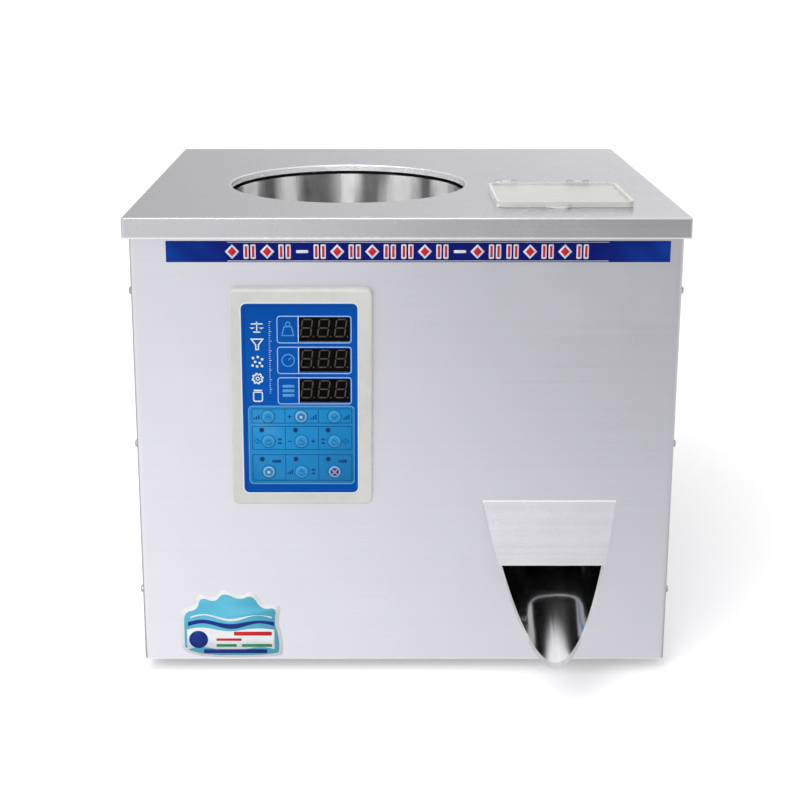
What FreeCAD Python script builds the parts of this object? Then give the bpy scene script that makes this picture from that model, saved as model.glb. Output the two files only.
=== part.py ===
import FreeCAD, Part
import math
import os

os.makedirs("parts", exist_ok=True)

# A counter-top machine that fills pouches with a set weight of granules.
# A vibrating bowl lifts the granules up a spiral track to a spout, the spout feeds a small
# weighing hopper on a load cell, and its gate drops each portion down the chute in front.
# Millimetres, X to the right, Y to the back, Z up. The origin is the middle of the box round
# the whole machine, on the surface that it stands on.

V = FreeCAD.Vector
ORIGIN = V(0, 0, 0)
RIGHT = V(1, 0, 0)
BACK = V(0, 1, 0)
UP = V(0, 0, 1)

# Case of folded steel sheet
PLATE_WIDTH = 420.0
PLATE_DEPTH = 366.0
PLATE_SKIRT = 15.6
PLATE_OVERHANG = 4.5
PLATE_CORNER = 3.0
PLATE_EDGE = 1.2
CASE_HEIGHT = 356.0
SHEET = 1.5
BEND_RADIUS = 2.5
CASE_RETURN = 14.0
CASE_SEAM = 0.4
TOP_FLANGE = 12.0
TRAY_LIP = 20.0
POST_LEG = 24.0
FIT_GAP = 0.2
RUNNING_GAP = 0.05
BODY_GAP = 0.3

# Feet and case screws
FOOT_HEIGHT = 10.0
FOOT_RADIUS = 14.0
FOOT_TAPER = 1.5
FOOT_RECESS = 6.0
FOOT_RECESS_DEPTH = 5.0
FOOT_INSET = 38.0
FOOT_SCREW_RADIUS = 2.0
FOOT_SCREW_HEAD = 4.0
FOOT_SCREW_HEAD_HEIGHT = 3.0
FOOT_NUT_ACROSS = 7.0
FOOT_NUT_HEIGHT = 3.2
SCREW_RADIUS = 1.5
SCREW_HEAD_RADIUS = 3.0
SCREW_HEAD_HEIGHT = 1.8
SCREW_LENGTH = 6.0
SCREW_EDGE = 17.0
SCREW_ROWS = (0.16, 0.5, 0.84)

# Vents
LOUVRE_COUNT = 6
LOUVRE_WIDTH = 60.0
LOUVRE_HEIGHT = 8.0
LOUVRE_PROUD = 3.5
LOUVRE_WALL = 1.0
LOUVRE_PITCH = 14.0
LOUVRE_COLUMNS = (-110.0, 110.0)
LOUVRE_LOW_Z = 190.0
TRAY_SLOT_COUNT = 5
TRAY_SLOT_LENGTH = 60.0
TRAY_SLOT_WIDTH = 5.0
TRAY_SLOT_PITCH = 12.0

# Hopper mouth in the top plate
HOPPER_RADIUS = 98.4
HOPPER_X = -45.7
HOPPER_SETBACK = PLATE_DEPTH * 0.445
HOPPER_FLANGE = 5.5

# Access opening and its clear lid
LID_WIDTH = 105.0
LID_DEPTH = 90.0
LID_EDGE = 88.0
LID_SETBACK = 42.0
LID_THICK = 2.5
LID_LIFT = 0.2
LID_RIM_WIDTH = 3.0
LID_RIM_HEIGHT = 2.0
LID_CORNER = 7.0
LID_TAB_RADIUS = 12.0
LID_TAB_REACH = 5.0
LID_TAB_X = -5.5
ACCESS_MARGIN = 9.0
ACCESS_CORNER = 5.0
LID_HINGE_SPREAD = 59.0
LID_HINGE_SHIFT = -7.5
LID_HINGE_WIDTH = 18.0
LID_KNUCKLE_WIDTH = 8.0
LID_KNUCKLE_RADIUS = 2.8
LID_PIN_RADIUS = 1.2
LID_AXIS_LIFT = 3.4
LID_AXIS_SETBACK = 3.4
LID_LEAF_DEPTH = 10.0
LID_LEAF_THICK = 1.5
LID_KNUCKLE_LIFT = 1.0

# Banner strip under the skirt
BANNER_LEFT_MARGIN = 32.0
BANNER_RIGHT_MARGIN = 15.0
BANNER_HEIGHT = 16.0
BANNER_DROP = 2.4
BANNER_THICK = 0.3

# Control panel: moulded bezel, printed overlay, keys, displays, lamps and their board
PANEL_X = -78.5
PANEL_DROP = 137.8
BEZEL_WIDTH = 106.8
BEZEL_HEIGHT = 168.9
BEZEL_PROUD = 8.0
BEZEL_WALL = 2.5
BEZEL_CORNER = 5.0
BEZEL_EDGE = 1.8
BEZEL_LAP = 7.5
OVERLAY_WIDTH = 87.1
OVERLAY_HEIGHT = 147.0
OVERLAY_X = -0.7
OVERLAY_Z = -1.1
OVERLAY_CORNER = 4.0
OVERLAY_THICK = 0.6
DISPLAY_WIDTH = 37.6
DISPLAY_HEIGHT = 18.2
DISPLAY_PITCH = 23.8
DISPLAY_COUNT = 3
DISPLAY_X = 17.5
DISPLAY_TOP_Z = 54.2
DISPLAY_SINK = 0.8
DISPLAY_EDGE = 0.6
KEY_COLUMNS = (-25.5, -0.5, 24.5)
KEY_ROWS = (-13.7, -33.3, -57.7)
KEY_RADIUS = 5.0
KEY_DOME = 1.4
KEY_FLANGE = 1.0
KEY_FLANGE_THICK = 0.8
KEY_TRAVEL = 0.4
KEY_GAP = 0.15
KEY_STEM_RADIUS = 1.7
KEY_STEM_LENGTH = 0.6
SWITCH_SIZE = 6.0
SWITCH_BODY = 3.4
SWITCH_PLUNGER = 1.75
SWITCH_PLUNGER_HEIGHT = 1.0
LAMP_COLUMNS = (-30.5, -4.9, 19.8)
LAMP_ROWS = (-24.3, -47.6)
LAMP_RADIUS = 1.8
LAMP_PROUD = 0.3
BOARD_WIDTH = 86.0
BOARD_HEIGHT = 140.0
BOARD_THICK = 1.6
POST_INSET_X = 3.0
POST_INSET_Z = 4.0
POST_RADIUS = 3.0
CHIP_SIZE = (24.0, 9.0, 3.5)
CONNECTOR_SIZE = (40.0, 8.0, 9.0)
RELAY_SIZE = (19.0, 15.0, 15.0)

# Vibrating bowl
BOWL_INSET = 2.4
BOWL_DROP = 8.0
BOWL_DEPTH = CASE_HEIGHT * 0.36
BOWL_WALL = 1.5
BOWL_BEAD = 1.2
BOWL_BEAD_HEIGHT = 3.0
BOWL_CONE = 10.0
BOWL_LAND = 18.0
BOWL_FLAT_START = 66.0
BOWL_FOOT_BEVEL = 4.0
TRACK_WIDTH = 20.3
TRACK_THICK = 2.0
TRACK_LIP = 2.5
TRACK_LIP_WALL = 1.5
TRACK_TURNS = 2.0
TRACK_PITCH = BOWL_DEPTH / 3.2
SPOUT_WALL = 1.2
SPOUT_SIDE = 14.0
SPOUT_SLOPE = 4.0
SPOUT_STOP = 22.0
CLAMP_HEAD_RADIUS = 16.0
CLAMP_HEAD_HEIGHT = 9.0
CLAMP_BOLT_RADIUS = 5.0

# Drive of the bowl
BRIDGE_HEIGHT = CASE_HEIGHT * 0.14
BRIDGE_WIDTH = PLATE_WIDTH * 0.476
BRIDGE_DEPTH = 180.0
BRIDGE_SHEET = 3.0
BRIDGE_FOOT = 15.0
ISOLATOR_HEIGHT = CASE_HEIGHT * 0.062
ISOLATOR_RADIUS = 13.0
ISOLATOR_WAIST = 3.0
ISOLATOR_SPREAD = 62.0
ISOLATOR_COUNT = 4
DRIVE_BASE_RADIUS = 88.0
DRIVE_BASE_THICK = CASE_HEIGHT * 0.107
DRIVE_BASE_BEVEL = 3.0
DRIVE_BOSS_RADIUS = 38.0
DRIVE_BOSS_HEIGHT = CASE_HEIGHT * 0.066
MOUNT_RADIUS = 78.0
MOUNT_THICK = 14.0
SPRING_COUNT = 3
SPRING_AZIMUTH = 30.0
SPRING_LEAN = 20.0
SPRING_GRIP = 9.0
SPRING_WIDTH = 24.0
SPRING_THICK = 2.0
SPRING_RADIUS = 66.0
SPRING_ROOM = 2.0
PAD_THICK = 12.0
CLAMP_PLATE = 3.0
CLAMP_PLATE_HEIGHT = 18.0
CLAMP_SCREW_RADIUS = 5.0
CLAMP_SCREW_HEAD = 4.0
MAGNET_GAP = 1.2
ARMATURE_WIDTH = 60.0
ARMATURE_THICK = 14.0
CORE_WIDTH = 60.0
CORE_DEPTH = 36.0
CORE_LEG = 9.0
CORE_YOKE = 12.0
COIL_WALL = 10.5
COIL_GAP = 0.3
COIL_TOP_ROOM = 4.0

# Weighing hopper, gate and load cell
WEIGH_WIDTH = 76.0
WEIGH_DEPTH = 70.0
WEIGH_STRAIGHT = 20.0
WEIGH_TAPER = 52.0
WEIGH_OUTLET_WIDTH = 40.0
WEIGH_OUTLET_DEPTH = 34.0
WEIGH_CORNER = 6.0
WEIGH_OUTLET_CORNER = 4.0
WEIGH_WALL = 1.2
WEIGH_DROP = 9.0
GATE_GAP = 0.6
GATE_THICK = 1.5
GATE_MARGIN = 3.6
GATE_LIP = 4.5
GATE_BARREL_RADIUS = 4.0
GATE_BARREL_LENGTH = 24.0
GATE_PIN_RADIUS = 2.0
GATE_PIN_HEAD = 1.0
GATE_SETBACK = 9.5
GATE_SWING = 55.0
GATE_LEVER = 17.0
GATE_LEVER_THICK = 3.0
GATE_LEVER_WIDTH = 8.0
GATE_LEVER_X = 7.0
LINK_PIN_RADIUS = 1.5
LINK_PIN_LENGTH = 6.5
LUG_THICK = 2.5
LUG_GAP = 0.5
LUG_RADIUS = 5.0
EYE_THICK = 3.0
EYE_HEIGHT = 12.0
EYE_FRONT = 4.0
EYE_BACK = 12.0
EYE_SLOT_LENGTH = 7.5
PLUNGER_RADIUS = 4.5
COLLAR_RADIUS = 8.0
COLLAR_THICK = 2.0
RETURN_SPRING_SHUT = 5.0
RETURN_SPRING_RADIUS = 6.2
RETURN_SPRING_WIRE = 0.5
RETURN_SPRING_TURNS = 6.0
SOLENOID_WIDTH = 26.0
SOLENOID_HEIGHT = 22.0
SOLENOID_LENGTH = 40.0
SOLENOID_FRAME = 2.0
PLUNGER_TAIL = 6.0
HANGER_SHEET = 2.0
HANGER_WIDTH = 44.0
HANGER_SOLENOID_WIDTH = 12.0
CELL_LENGTH = 80.0
CELL_SIZE = 12.7
CELL_DROP = 32.0
CELL_HOLE = 4.2
CELL_HOLE_SPREAD = 15.0
CELL_END = 12.0
CELL_STANDOFF = 3.0
STAND_WIDTH = 36.0
STAND_DEPTH = 30.0
STAND_SHEET = 2.0
STAND_FOOT = 14.0

# Chute: part of a cone, cut along a plane that runs beside its upper side
CHUTE_EDGE = 99.0
CHUTE_TOP = CASE_HEIGHT * 0.396
CHUTE_REACH = 65.0
CHUTE_SLOPE = 58.0
CHUTE_FLARE = 10.0
CHUTE_TIP_RADIUS = 29.7
CHUTE_WALL = 1.5
CHUTE_FLANGE = 12.0
CHUTE_FLANGE_WIDTH = 135.0
COVER_LENGTH = 47.1
COVER_THICK = 1.5
COVER_LAP = 0.4
SLIDE_DEPTH = 115.0
SLIDE_WALL_HEIGHT = 45.0
SLIDE_CLEARANCE = 12.0

# Rear fittings and electrics
FITTING_Z = 55.0
INLET_EDGE = 60.0
INLET_WIDTH = 50.0
INLET_HEIGHT = 27.0
INLET_FLANGE = 2.5
INLET_BODY_WIDTH = 27.0
INLET_BODY_HEIGHT = 19.8
INLET_DEPTH = 22.0
INLET_MOUTH_WIDTH = 24.4
INLET_MOUTH_HEIGHT = 16.4
INLET_MOUTH_DEPTH = 17.0
INLET_PIN_WIDTH = 2.0
INLET_PIN_HEIGHT = 4.0
INLET_PIN_LENGTH = 11.0
INLET_PIN_SPREAD = 7.0
INLET_PIN_DROP = 2.0
POWER_EDGE = 106.0
POWER_WIDTH = 15.0
POWER_HEIGHT = 22.0
POWER_BEZEL = 2.0
POWER_WALL = 2.0
POWER_DEPTH = 16.0
ROCKER_TILT = 12.0
ROCKER_PROUD = 3.2
ROCKER_WAIST = 1.4
ROCKER_BACK = 4.0
ROCKER_GAP = 0.5
TRUNNION_RADIUS = 1.0
FUSE_EDGE = 140.0
FUSE_CAP_RADIUS = 7.0
FUSE_CAP_LENGTH = 6.0
FUSE_FLANGE_RADIUS = 9.0
FUSE_FLANGE_THICK = 1.5
FUSE_BODY_RADIUS = 6.0
FUSE_BODY_LENGTH = 32.0
SOCKET_EDGE = 176.0
SOCKET_RADIUS = 8.0
SOCKET_PROUD = 8.0
SOCKET_BORE = 6.4
SOCKET_BORE_DEPTH = 12.0
SOCKET_NUT_RADIUS = 10.5
SOCKET_NUT_THICK = 2.5
SOCKET_LENGTH = 16.0
SOCKET_PIN_RADIUS = 0.9
SOCKET_PIN_LENGTH = 6.0
SOCKET_PIN_SPREAD = 3.0
SOCKET_PIN_COUNT = 4
TRANSFORMER_EDGE = 95.0
TRANSFORMER_REAR = 35.0
TRANSFORMER_WIDTH = 66.0
TRANSFORMER_DEPTH = 34.0
TRANSFORMER_HEIGHT = 56.0
TRANSFORMER_COIL = 52.0
TRANSFORMER_FOOT = 12.0
DRIVER_EDGE = 95.0
DRIVER_REAR = 30.0
DRIVER_WIDTH = 90.0
DRIVER_DEPTH = PLATE_DEPTH * 0.15
DRIVER_LIFT = 8.0
HEAT_SINK_SIZE = (60.0, 12.0, 30.0)
CAPACITOR_RADIUS = 8.0
CAPACITOR_HEIGHT = 22.0

# Levels and places that follow from the sizes above
CASE_WIDTH = PLATE_WIDTH - 2 * PLATE_OVERHANG
CASE_DEPTH = PLATE_DEPTH - 2 * PLATE_OVERHANG
FRONT_Y = CHUTE_REACH - (CHUTE_REACH + CASE_DEPTH + SOCKET_PROUD) / 2
REAR_Y = FRONT_Y + CASE_DEPTH
PLATE_FRONT_Y = FRONT_Y - PLATE_OVERHANG
CASE_MIDDLE_Y = (FRONT_Y + REAR_Y) / 2
CASE_BOTTOM = FOOT_HEIGHT
TRAY_TOP = CASE_BOTTOM + SHEET
PLATE_TOP = CASE_BOTTOM + CASE_HEIGHT
PLATE_UNDER = PLATE_TOP - SHEET
HOPPER_Y = PLATE_FRONT_Y + HOPPER_SETBACK
BOWL_AXIS = V(HOPPER_X, HOPPER_Y, 0)
RIGHT_EDGE = PLATE_WIDTH / 2
BANNER_LEFT = BANNER_LEFT_MARGIN - RIGHT_EDGE
BANNER_RIGHT = RIGHT_EDGE - BANNER_RIGHT_MARGIN
PANEL_Z = PLATE_TOP - PANEL_DROP
LID_X = RIGHT_EDGE - LID_EDGE
CHUTE_X = RIGHT_EDGE - CHUTE_EDGE
INLET_X = RIGHT_EDGE - INLET_EDGE
POWER_X = RIGHT_EDGE - POWER_EDGE
FUSE_X = RIGHT_EDGE - FUSE_EDGE
SOCKET_X = RIGHT_EDGE - SOCKET_EDGE
TRANSFORMER_X = TRANSFORMER_EDGE - RIGHT_EDGE
TRANSFORMER_Y = REAR_Y - TRANSFORMER_REAR
DRIVER_X = RIGHT_EDGE - DRIVER_EDGE
DRIVER_Y = REAR_Y - DRIVER_REAR - DRIVER_DEPTH / 2
LID_FRONT_Y = PLATE_FRONT_Y + LID_SETBACK
LID_BACK_Y = LID_FRONT_Y + LID_DEPTH
LID_Y = LID_FRONT_Y + LID_DEPTH / 2
LID_BOTTOM = PLATE_TOP + LID_LIFT
LID_AXIS_Y = LID_BACK_Y + LID_AXIS_SETBACK
LID_AXIS_Z = PLATE_TOP + LID_AXIS_LIFT
KEY_BACK = BEZEL_PROUD - BEZEL_WALL - KEY_GAP / 2 - KEY_FLANGE_THICK - KEY_STEM_LENGTH
BOARD_FRONT = KEY_BACK - KEY_TRAVEL - RUNNING_GAP - SWITCH_PLUNGER_HEIGHT - SWITCH_BODY
BOWL_RADIUS = HOPPER_RADIUS - BOWL_INSET
BOWL_INNER = BOWL_RADIUS - BOWL_WALL
BOWL_RIM = PLATE_TOP - BOWL_DROP
BOWL_BOTTOM = BOWL_RIM - BOWL_DEPTH
TRACK_OUTER = BOWL_INNER - FIT_GAP
TRACK_MIDDLE = TRACK_OUTER - TRACK_WIDTH / 2
TRACK_START_Z = BOWL_BOTTOM + BOWL_WALL + FIT_GAP
TRACK_END_Z = TRACK_START_Z + TRACK_TURNS * TRACK_PITCH
WEIGH_X = LID_X
WEIGH_Y = LID_Y
SPOUT_RANGE = math.hypot(WEIGH_X - HOPPER_X, WEIGH_Y - HOPPER_Y)
SPOUT_BEARING = math.atan2(WEIGH_Y - HOPPER_Y, WEIGH_X - HOPPER_X) - math.acos(TRACK_MIDDLE / SPOUT_RANGE)
SPOUT_LENGTH = math.sqrt(SPOUT_RANGE ** 2 - TRACK_MIDDLE ** 2) - SPOUT_STOP
SPOUT_END_DROP = SPOUT_LENGTH * math.sin(math.radians(SPOUT_SLOPE))
WEIGH_TOP = TRACK_END_Z - SPOUT_END_DROP - WEIGH_DROP
WEIGH_SHOULDER = WEIGH_TOP - WEIGH_STRAIGHT
WEIGH_BOTTOM = WEIGH_SHOULDER - WEIGH_TAPER
GATE_PIVOT_Y = WEIGH_Y + WEIGH_OUTLET_DEPTH / 2 + WEIGH_WALL + GATE_SETBACK
GATE_PIVOT_Z = WEIGH_BOTTOM
GATE_PIVOT = V(WEIGH_X, GATE_PIVOT_Y, GATE_PIVOT_Z)
GATE_TOP = WEIGH_BOTTOM - GATE_GAP
HALF_SWING = math.radians(GATE_SWING / 2)
LINK_Y = GATE_PIVOT_Y - GATE_LEVER * math.sin(HALF_SWING)
LINK_Z = GATE_PIVOT_Z - GATE_LEVER * math.cos(HALF_SWING)
LINK_TRAVEL = 2 * GATE_LEVER * math.sin(HALF_SWING)
PLUNGER_X = WEIGH_X + GATE_LEVER_X + GATE_LEVER_THICK + FIT_GAP + BODY_GAP + EYE_THICK / 2
PLUNGER_Z = GATE_PIVOT_Z - GATE_LEVER * (1 + math.cos(HALF_SWING)) / 2
COLLAR_Y = LINK_Y + EYE_BACK
SOLENOID_FRONT_Y = COLLAR_Y + COLLAR_THICK + LINK_TRAVEL + RETURN_SPRING_SHUT
SOLENOID_TOP = PLUNGER_Z + SOLENOID_HEIGHT / 2
HANGER_FRONT_Y = WEIGH_Y + WEIGH_DEPTH / 2 + WEIGH_WALL
CELL_TOP = WEIGH_TOP - CELL_DROP
CELL_FRONT_Y = HANGER_FRONT_Y + HANGER_SHEET + CELL_STANDOFF
BRIDGE_TOP = TRAY_TOP + BRIDGE_HEIGHT
DRIVE_BASE_BOTTOM = BRIDGE_TOP + ISOLATOR_HEIGHT
DRIVE_BASE_TOP = DRIVE_BASE_BOTTOM + DRIVE_BASE_THICK
MOUNT_BOTTOM = BOWL_BOTTOM - MOUNT_THICK
SPRING_MIDDLE_Z = (DRIVE_BASE_TOP + MOUNT_BOTTOM) / 2
SPRING_HALF = ((MOUNT_BOTTOM - DRIVE_BASE_TOP) / 2 + SPRING_GRIP) / math.cos(math.radians(SPRING_LEAN))
CORE_BOTTOM = DRIVE_BASE_TOP + DRIVE_BOSS_HEIGHT
CORE_TOP = MOUNT_BOTTOM - ARMATURE_THICK - MAGNET_GAP
RIM_ANGLE = math.radians(CHUTE_SLOPE)
FLARE = math.radians(CHUTE_FLARE)
RIM_LINE = V(0, math.cos(RIM_ANGLE), math.sin(RIM_ANGLE))
RIM_NORMAL = V(0, -math.sin(RIM_ANGLE), math.cos(RIM_ANGLE))
CHUTE_AXIS = V(0, math.cos(RIM_ANGLE - FLARE), math.sin(RIM_ANGLE - FLARE))
FLOOR_LINE = V(0, math.cos(RIM_ANGLE - 2 * FLARE), math.sin(RIM_ANGLE - 2 * FLARE))
FLOOR_NORMAL = V(0, -math.sin(RIM_ANGLE - 2 * FLARE), math.cos(RIM_ANGLE - 2 * FLARE))
RIM_TOP = V(CHUTE_X, FRONT_Y, CHUTE_TOP)
CHUTE_TIP = RIM_TOP - RIM_LINE * (CHUTE_REACH / math.cos(RIM_ANGLE))
CHUTE_APEX = CHUTE_TIP - FLOOR_LINE * (CHUTE_TIP_RADIUS / math.sin(FLARE))
SLIDE_TOP = LINK_Z - LINK_PIN_RADIUS - SLIDE_CLEARANCE
FAR = 2 * (PLATE_WIDTH + PLATE_DEPTH + CASE_HEIGHT)


# General shapes

def block(x, y, z):
    """A box from three pairs of limits."""
    return Part.makeBox(x[1] - x[0], y[1] - y[0], z[1] - z[0], V(x[0], y[0], z[0]))


def disc(radius, bottom, top):
    """An upright cylinder on the Z axis."""
    return Part.makeCylinder(radius, top - bottom, V(0, 0, bottom))


def turned(points, centre=ORIGIN):
    """A solid turned about the upright line through centre, from (radius, height) corners."""
    corners = [V(radius, 0, height) for radius, height in points]
    outline = Part.makePolygon(corners + corners[:1])
    solid = Part.Face(outline).revolve(ORIGIN, UP, 360)
    solid.translate(centre)
    return solid


def rounded_wire(width, depth, radius, height):
    """A rectangle with round corners, level at the given height and centred on the Z axis."""
    half_width = width / 2 - radius
    half_depth = depth / 2 - radius
    corners = (
        (half_width, half_depth, 0),
        (-half_width, half_depth, 90),
        (-half_width, -half_depth, 180),
        (half_width, -half_depth, 270),
    )
    arcs = []
    for x, y, start in corners:
        circle = Part.Circle(V(x, y, height), UP, radius)
        arcs.append(Part.Arc(circle, math.radians(start), math.radians(start + 90)).toShape())
    edges = []
    for arc, following in zip(arcs, arcs[1:] + arcs[:1]):
        edges.append(arc)
        edges.append(Part.makeLine(arc.lastVertex().Point, following.firstVertex().Point))
    return Part.Wire(edges)


def rounded_prism(width, depth, radius, bottom, top):
    """An upright prism with round corners, centred on the Z axis."""
    return Part.Face(rounded_wire(width, depth, radius, bottom)).extrude(V(0, 0, top - bottom))


def profile_prism(points, along):
    """A prism from corner points in one plane and the way that it is drawn out."""
    return Part.Face(Part.makePolygon(points + points[:1])).extrude(along)


def half_space(point, normal):
    """All that lies on the far side of a plane, as a block much larger than the machine."""
    solid = Part.makeBox(FAR, FAR, FAR, V(-FAR / 2, -FAR / 2, 0))
    solid.Placement = FreeCAD.Placement(point, FreeCAD.Rotation(UP, normal))
    return solid


def moved(shape, x=0.0, y=0.0, z=0.0):
    """A copy of the shape, moved."""
    copy = shape.copy()
    copy.translate(V(x, y, z))
    return copy


def on_front(shape, x, z):
    """A copy stood on the front of the case: its Z becomes the way out towards the user."""
    copy = shape.copy()
    copy.rotate(ORIGIN, RIGHT, 90)
    copy.translate(V(x, FRONT_Y, z))
    return copy


def on_rear(shape, x, z):
    """A copy stood on the rear of the case: its Z becomes the way out behind it."""
    copy = shape.copy()
    copy.rotate(ORIGIN, RIGHT, 90)
    copy.rotate(ORIGIN, UP, 180)
    copy.translate(V(x, REAR_Y, z))
    return copy


def fused(shapes):
    """One solid from shapes that meet."""
    return shapes[0].multiFuse(shapes[1:]).removeSplitter()


def group(shapes):
    """Like pieces kept as separate solids of one node."""
    return Part.makeCompound(shapes)


def fillet_where(shape, radius, wanted):
    """Round the edges that the test picks."""
    return shape.makeFillet(radius, [edge for edge in shape.Edges if wanted(edge)])


def level_at(height):
    """A test for edges that lie wholly at one height."""
    return lambda edge: all(abs(vertex.Z - height) < 1e-6 for vertex in edge.Vertexes)


# Case

def case_tube(inset, bottom, top):
    """Four upright walls of one sheet thickness, with bent corners, set in from the case's outside."""
    middle = V(0, CASE_MIDDLE_Y, 0)
    outer_radius = max(BEND_RADIUS - inset, SHEET)
    outer = rounded_prism(CASE_WIDTH - 2 * inset, CASE_DEPTH - 2 * inset, outer_radius + SHEET, bottom, top)
    inner_inset = inset + SHEET
    inner = rounded_prism(
        CASE_WIDTH - 2 * inner_inset, CASE_DEPTH - 2 * inner_inset, outer_radius, bottom, top)
    tube = outer.cut(inner)
    tube.translate(middle)
    return tube


def screw_places():
    """Where the case screws go: a point on the outer face and the way out of it."""
    places = []
    side_y = (FRONT_Y + CASE_RETURN / 2, FRONT_Y + SCREW_EDGE + SHEET)
    rear_side_y = (REAR_Y - CASE_RETURN / 2, REAR_Y - SCREW_EDGE - SHEET)
    for share in SCREW_ROWS:
        z = CASE_BOTTOM + share * CASE_HEIGHT
        for side in (-1, 1):
            places.append((V(side * (CASE_WIDTH / 2 - SCREW_EDGE), REAR_Y, z), BACK))
            for y in side_y + rear_side_y:
                places.append((V(side * CASE_WIDTH / 2, y, z), RIGHT * side))
    return places


def drilled(shape):
    """The shape with a clearance hole for each case screw."""
    holes = []
    for point, out in screw_places():
        start = point + out * SHEET
        holes.append(Part.makeCylinder(SCREW_RADIUS + FIT_GAP, SCREW_LENGTH + SHEET, start, out * -1))
    return shape.cut(holes)


def top_flange(x, y):
    """The part of a panel folded inwards under the top plate."""
    return block(x, y, (PLATE_UNDER - SHEET, PLATE_UNDER))


def top_plate():
    """The pressed top: skirt all round, rolled hopper mouth and access opening."""
    outer = rounded_prism(PLATE_WIDTH, PLATE_DEPTH, PLATE_CORNER, PLATE_TOP - PLATE_SKIRT, PLATE_TOP)
    outer.translate(V(0, CASE_MIDDLE_Y, 0))
    outer = fillet_where(outer, PLATE_EDGE, level_at(PLATE_TOP))
    hollow = rounded_prism(
        PLATE_WIDTH - 2 * SHEET, PLATE_DEPTH - 2 * SHEET, PLATE_CORNER - SHEET / 2,
        PLATE_TOP - PLATE_SKIRT, PLATE_UNDER)
    hollow.translate(V(0, CASE_MIDDLE_Y, 0))
    pan = outer.cut(hollow)
    collar = disc(HOPPER_RADIUS + SHEET, PLATE_TOP - HOPPER_FLANGE, PLATE_TOP)
    collar.translate(BOWL_AXIS)
    mouth = disc(HOPPER_RADIUS, PLATE_TOP - PLATE_SKIRT, PLATE_TOP + SHEET)
    mouth.translate(BOWL_AXIS)
    access = rounded_prism(
        LID_WIDTH - 2 * ACCESS_MARGIN, LID_DEPTH - 2 * ACCESS_MARGIN, ACCESS_CORNER,
        PLATE_UNDER - SHEET, PLATE_TOP + SHEET)
    access.translate(V(LID_X, LID_Y, 0))
    plate = fused([pan, collar]).cut([mouth, access])

    def mouth_edge(edge):
        on_top = level_at(PLATE_TOP)(edge)
        return on_top and isinstance(edge.Curve, Part.Circle) and abs(edge.Curve.Radius - HOPPER_RADIUS) < 1e-6

    return fillet_where(plate, PLATE_EDGE, mouth_edge)


def front_panel():
    """The front with its folded returns, and holes for the control panel and the chute."""
    wall = case_tube(0, CASE_BOTTOM, PLATE_UNDER)
    sheet = wall.cut(half_space(V(0, FRONT_Y + CASE_RETURN, 0), BACK))
    inner_x = CASE_WIDTH / 2 - SHEET - BEND_RADIUS
    flange = top_flange((-inner_x, inner_x), (FRONT_Y, FRONT_Y + TOP_FLANGE))
    width = BEZEL_WIDTH - 2 * BEZEL_LAP
    height = BEZEL_HEIGHT - 2 * BEZEL_LAP
    window = on_front(rounded_prism(width, height, BEZEL_CORNER, -2 * SHEET, SHEET), PANEL_X, PANEL_Z)
    opening = cone(-FIT_GAP).cut(half_space(RIM_TOP + RIM_NORMAL * FIT_GAP, RIM_NORMAL))
    return drilled(fused([sheet, flange]).cut([window, opening]))


def side_panel(side):
    """A flat side between the returns of front and rear, with its top edge folded in."""
    wall = case_tube(0, CASE_BOTTOM, PLATE_UNDER)
    low_y = FRONT_Y + CASE_RETURN + CASE_SEAM
    high_y = REAR_Y - CASE_RETURN - CASE_SEAM
    limits = sorted((0, side * CASE_WIDTH))
    sheet = wall.common(block(limits, (low_y, high_y), (CASE_BOTTOM, PLATE_UNDER)))
    flange_x = sorted((side * CASE_WIDTH / 2, side * (CASE_WIDTH / 2 - TOP_FLANGE)))
    return drilled(fused([sheet, top_flange(flange_x, (low_y, high_y))]))


def left_side_panel():
    """The side on the left of the user."""
    return side_panel(-1)


def right_side_panel():
    """The side on the right of the user."""
    return side_panel(1)


def louvre_hood():
    """One louvre's hood, built on the XY plane with the air slot at its lower edge."""
    half = LOUVRE_WIDTH / 2
    outer = profile_prism(
        [V(-half, 0, 0), V(-half, 0, LOUVRE_PROUD), V(-half, LOUVRE_HEIGHT, 0)], V(LOUVRE_WIDTH, 0, 0))
    inner_half = half - LOUVRE_WALL
    inner = profile_prism(
        [V(-inner_half, -LOUVRE_WALL, -SHEET), V(-inner_half, -LOUVRE_WALL, LOUVRE_PROUD - LOUVRE_WALL),
         V(-inner_half, LOUVRE_HEIGHT - 3 * LOUVRE_WALL, -SHEET)], V(2 * inner_half, 0, 0))
    return outer, inner


def louvre_places():
    """Where the louvres sit on the rear panel."""
    return [(x, LOUVRE_LOW_Z + row * LOUVRE_PITCH) for x in LOUVRE_COLUMNS for row in range(LOUVRE_COUNT)]


def rear_cut_outs():
    """Holes in the rear panel for the inlet, power switch, fuse holder and pedal socket."""
    deep = (-2 * SHEET, SHEET)
    inlet = rounded_prism(INLET_BODY_WIDTH + 2 * FIT_GAP, INLET_BODY_HEIGHT + 2 * FIT_GAP, SHEET, *deep)
    power = rounded_prism(power_body_width() + 2 * FIT_GAP, power_body_height() + 2 * FIT_GAP, SHEET, *deep)
    return [
        on_rear(inlet, INLET_X, FITTING_Z),
        on_rear(power, POWER_X, FITTING_Z),
        on_rear(disc(FUSE_BODY_RADIUS + FIT_GAP, *deep), FUSE_X, FITTING_Z),
        on_rear(disc(SOCKET_RADIUS + FIT_GAP, *deep), SOCKET_X, FITTING_Z),
    ]


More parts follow.
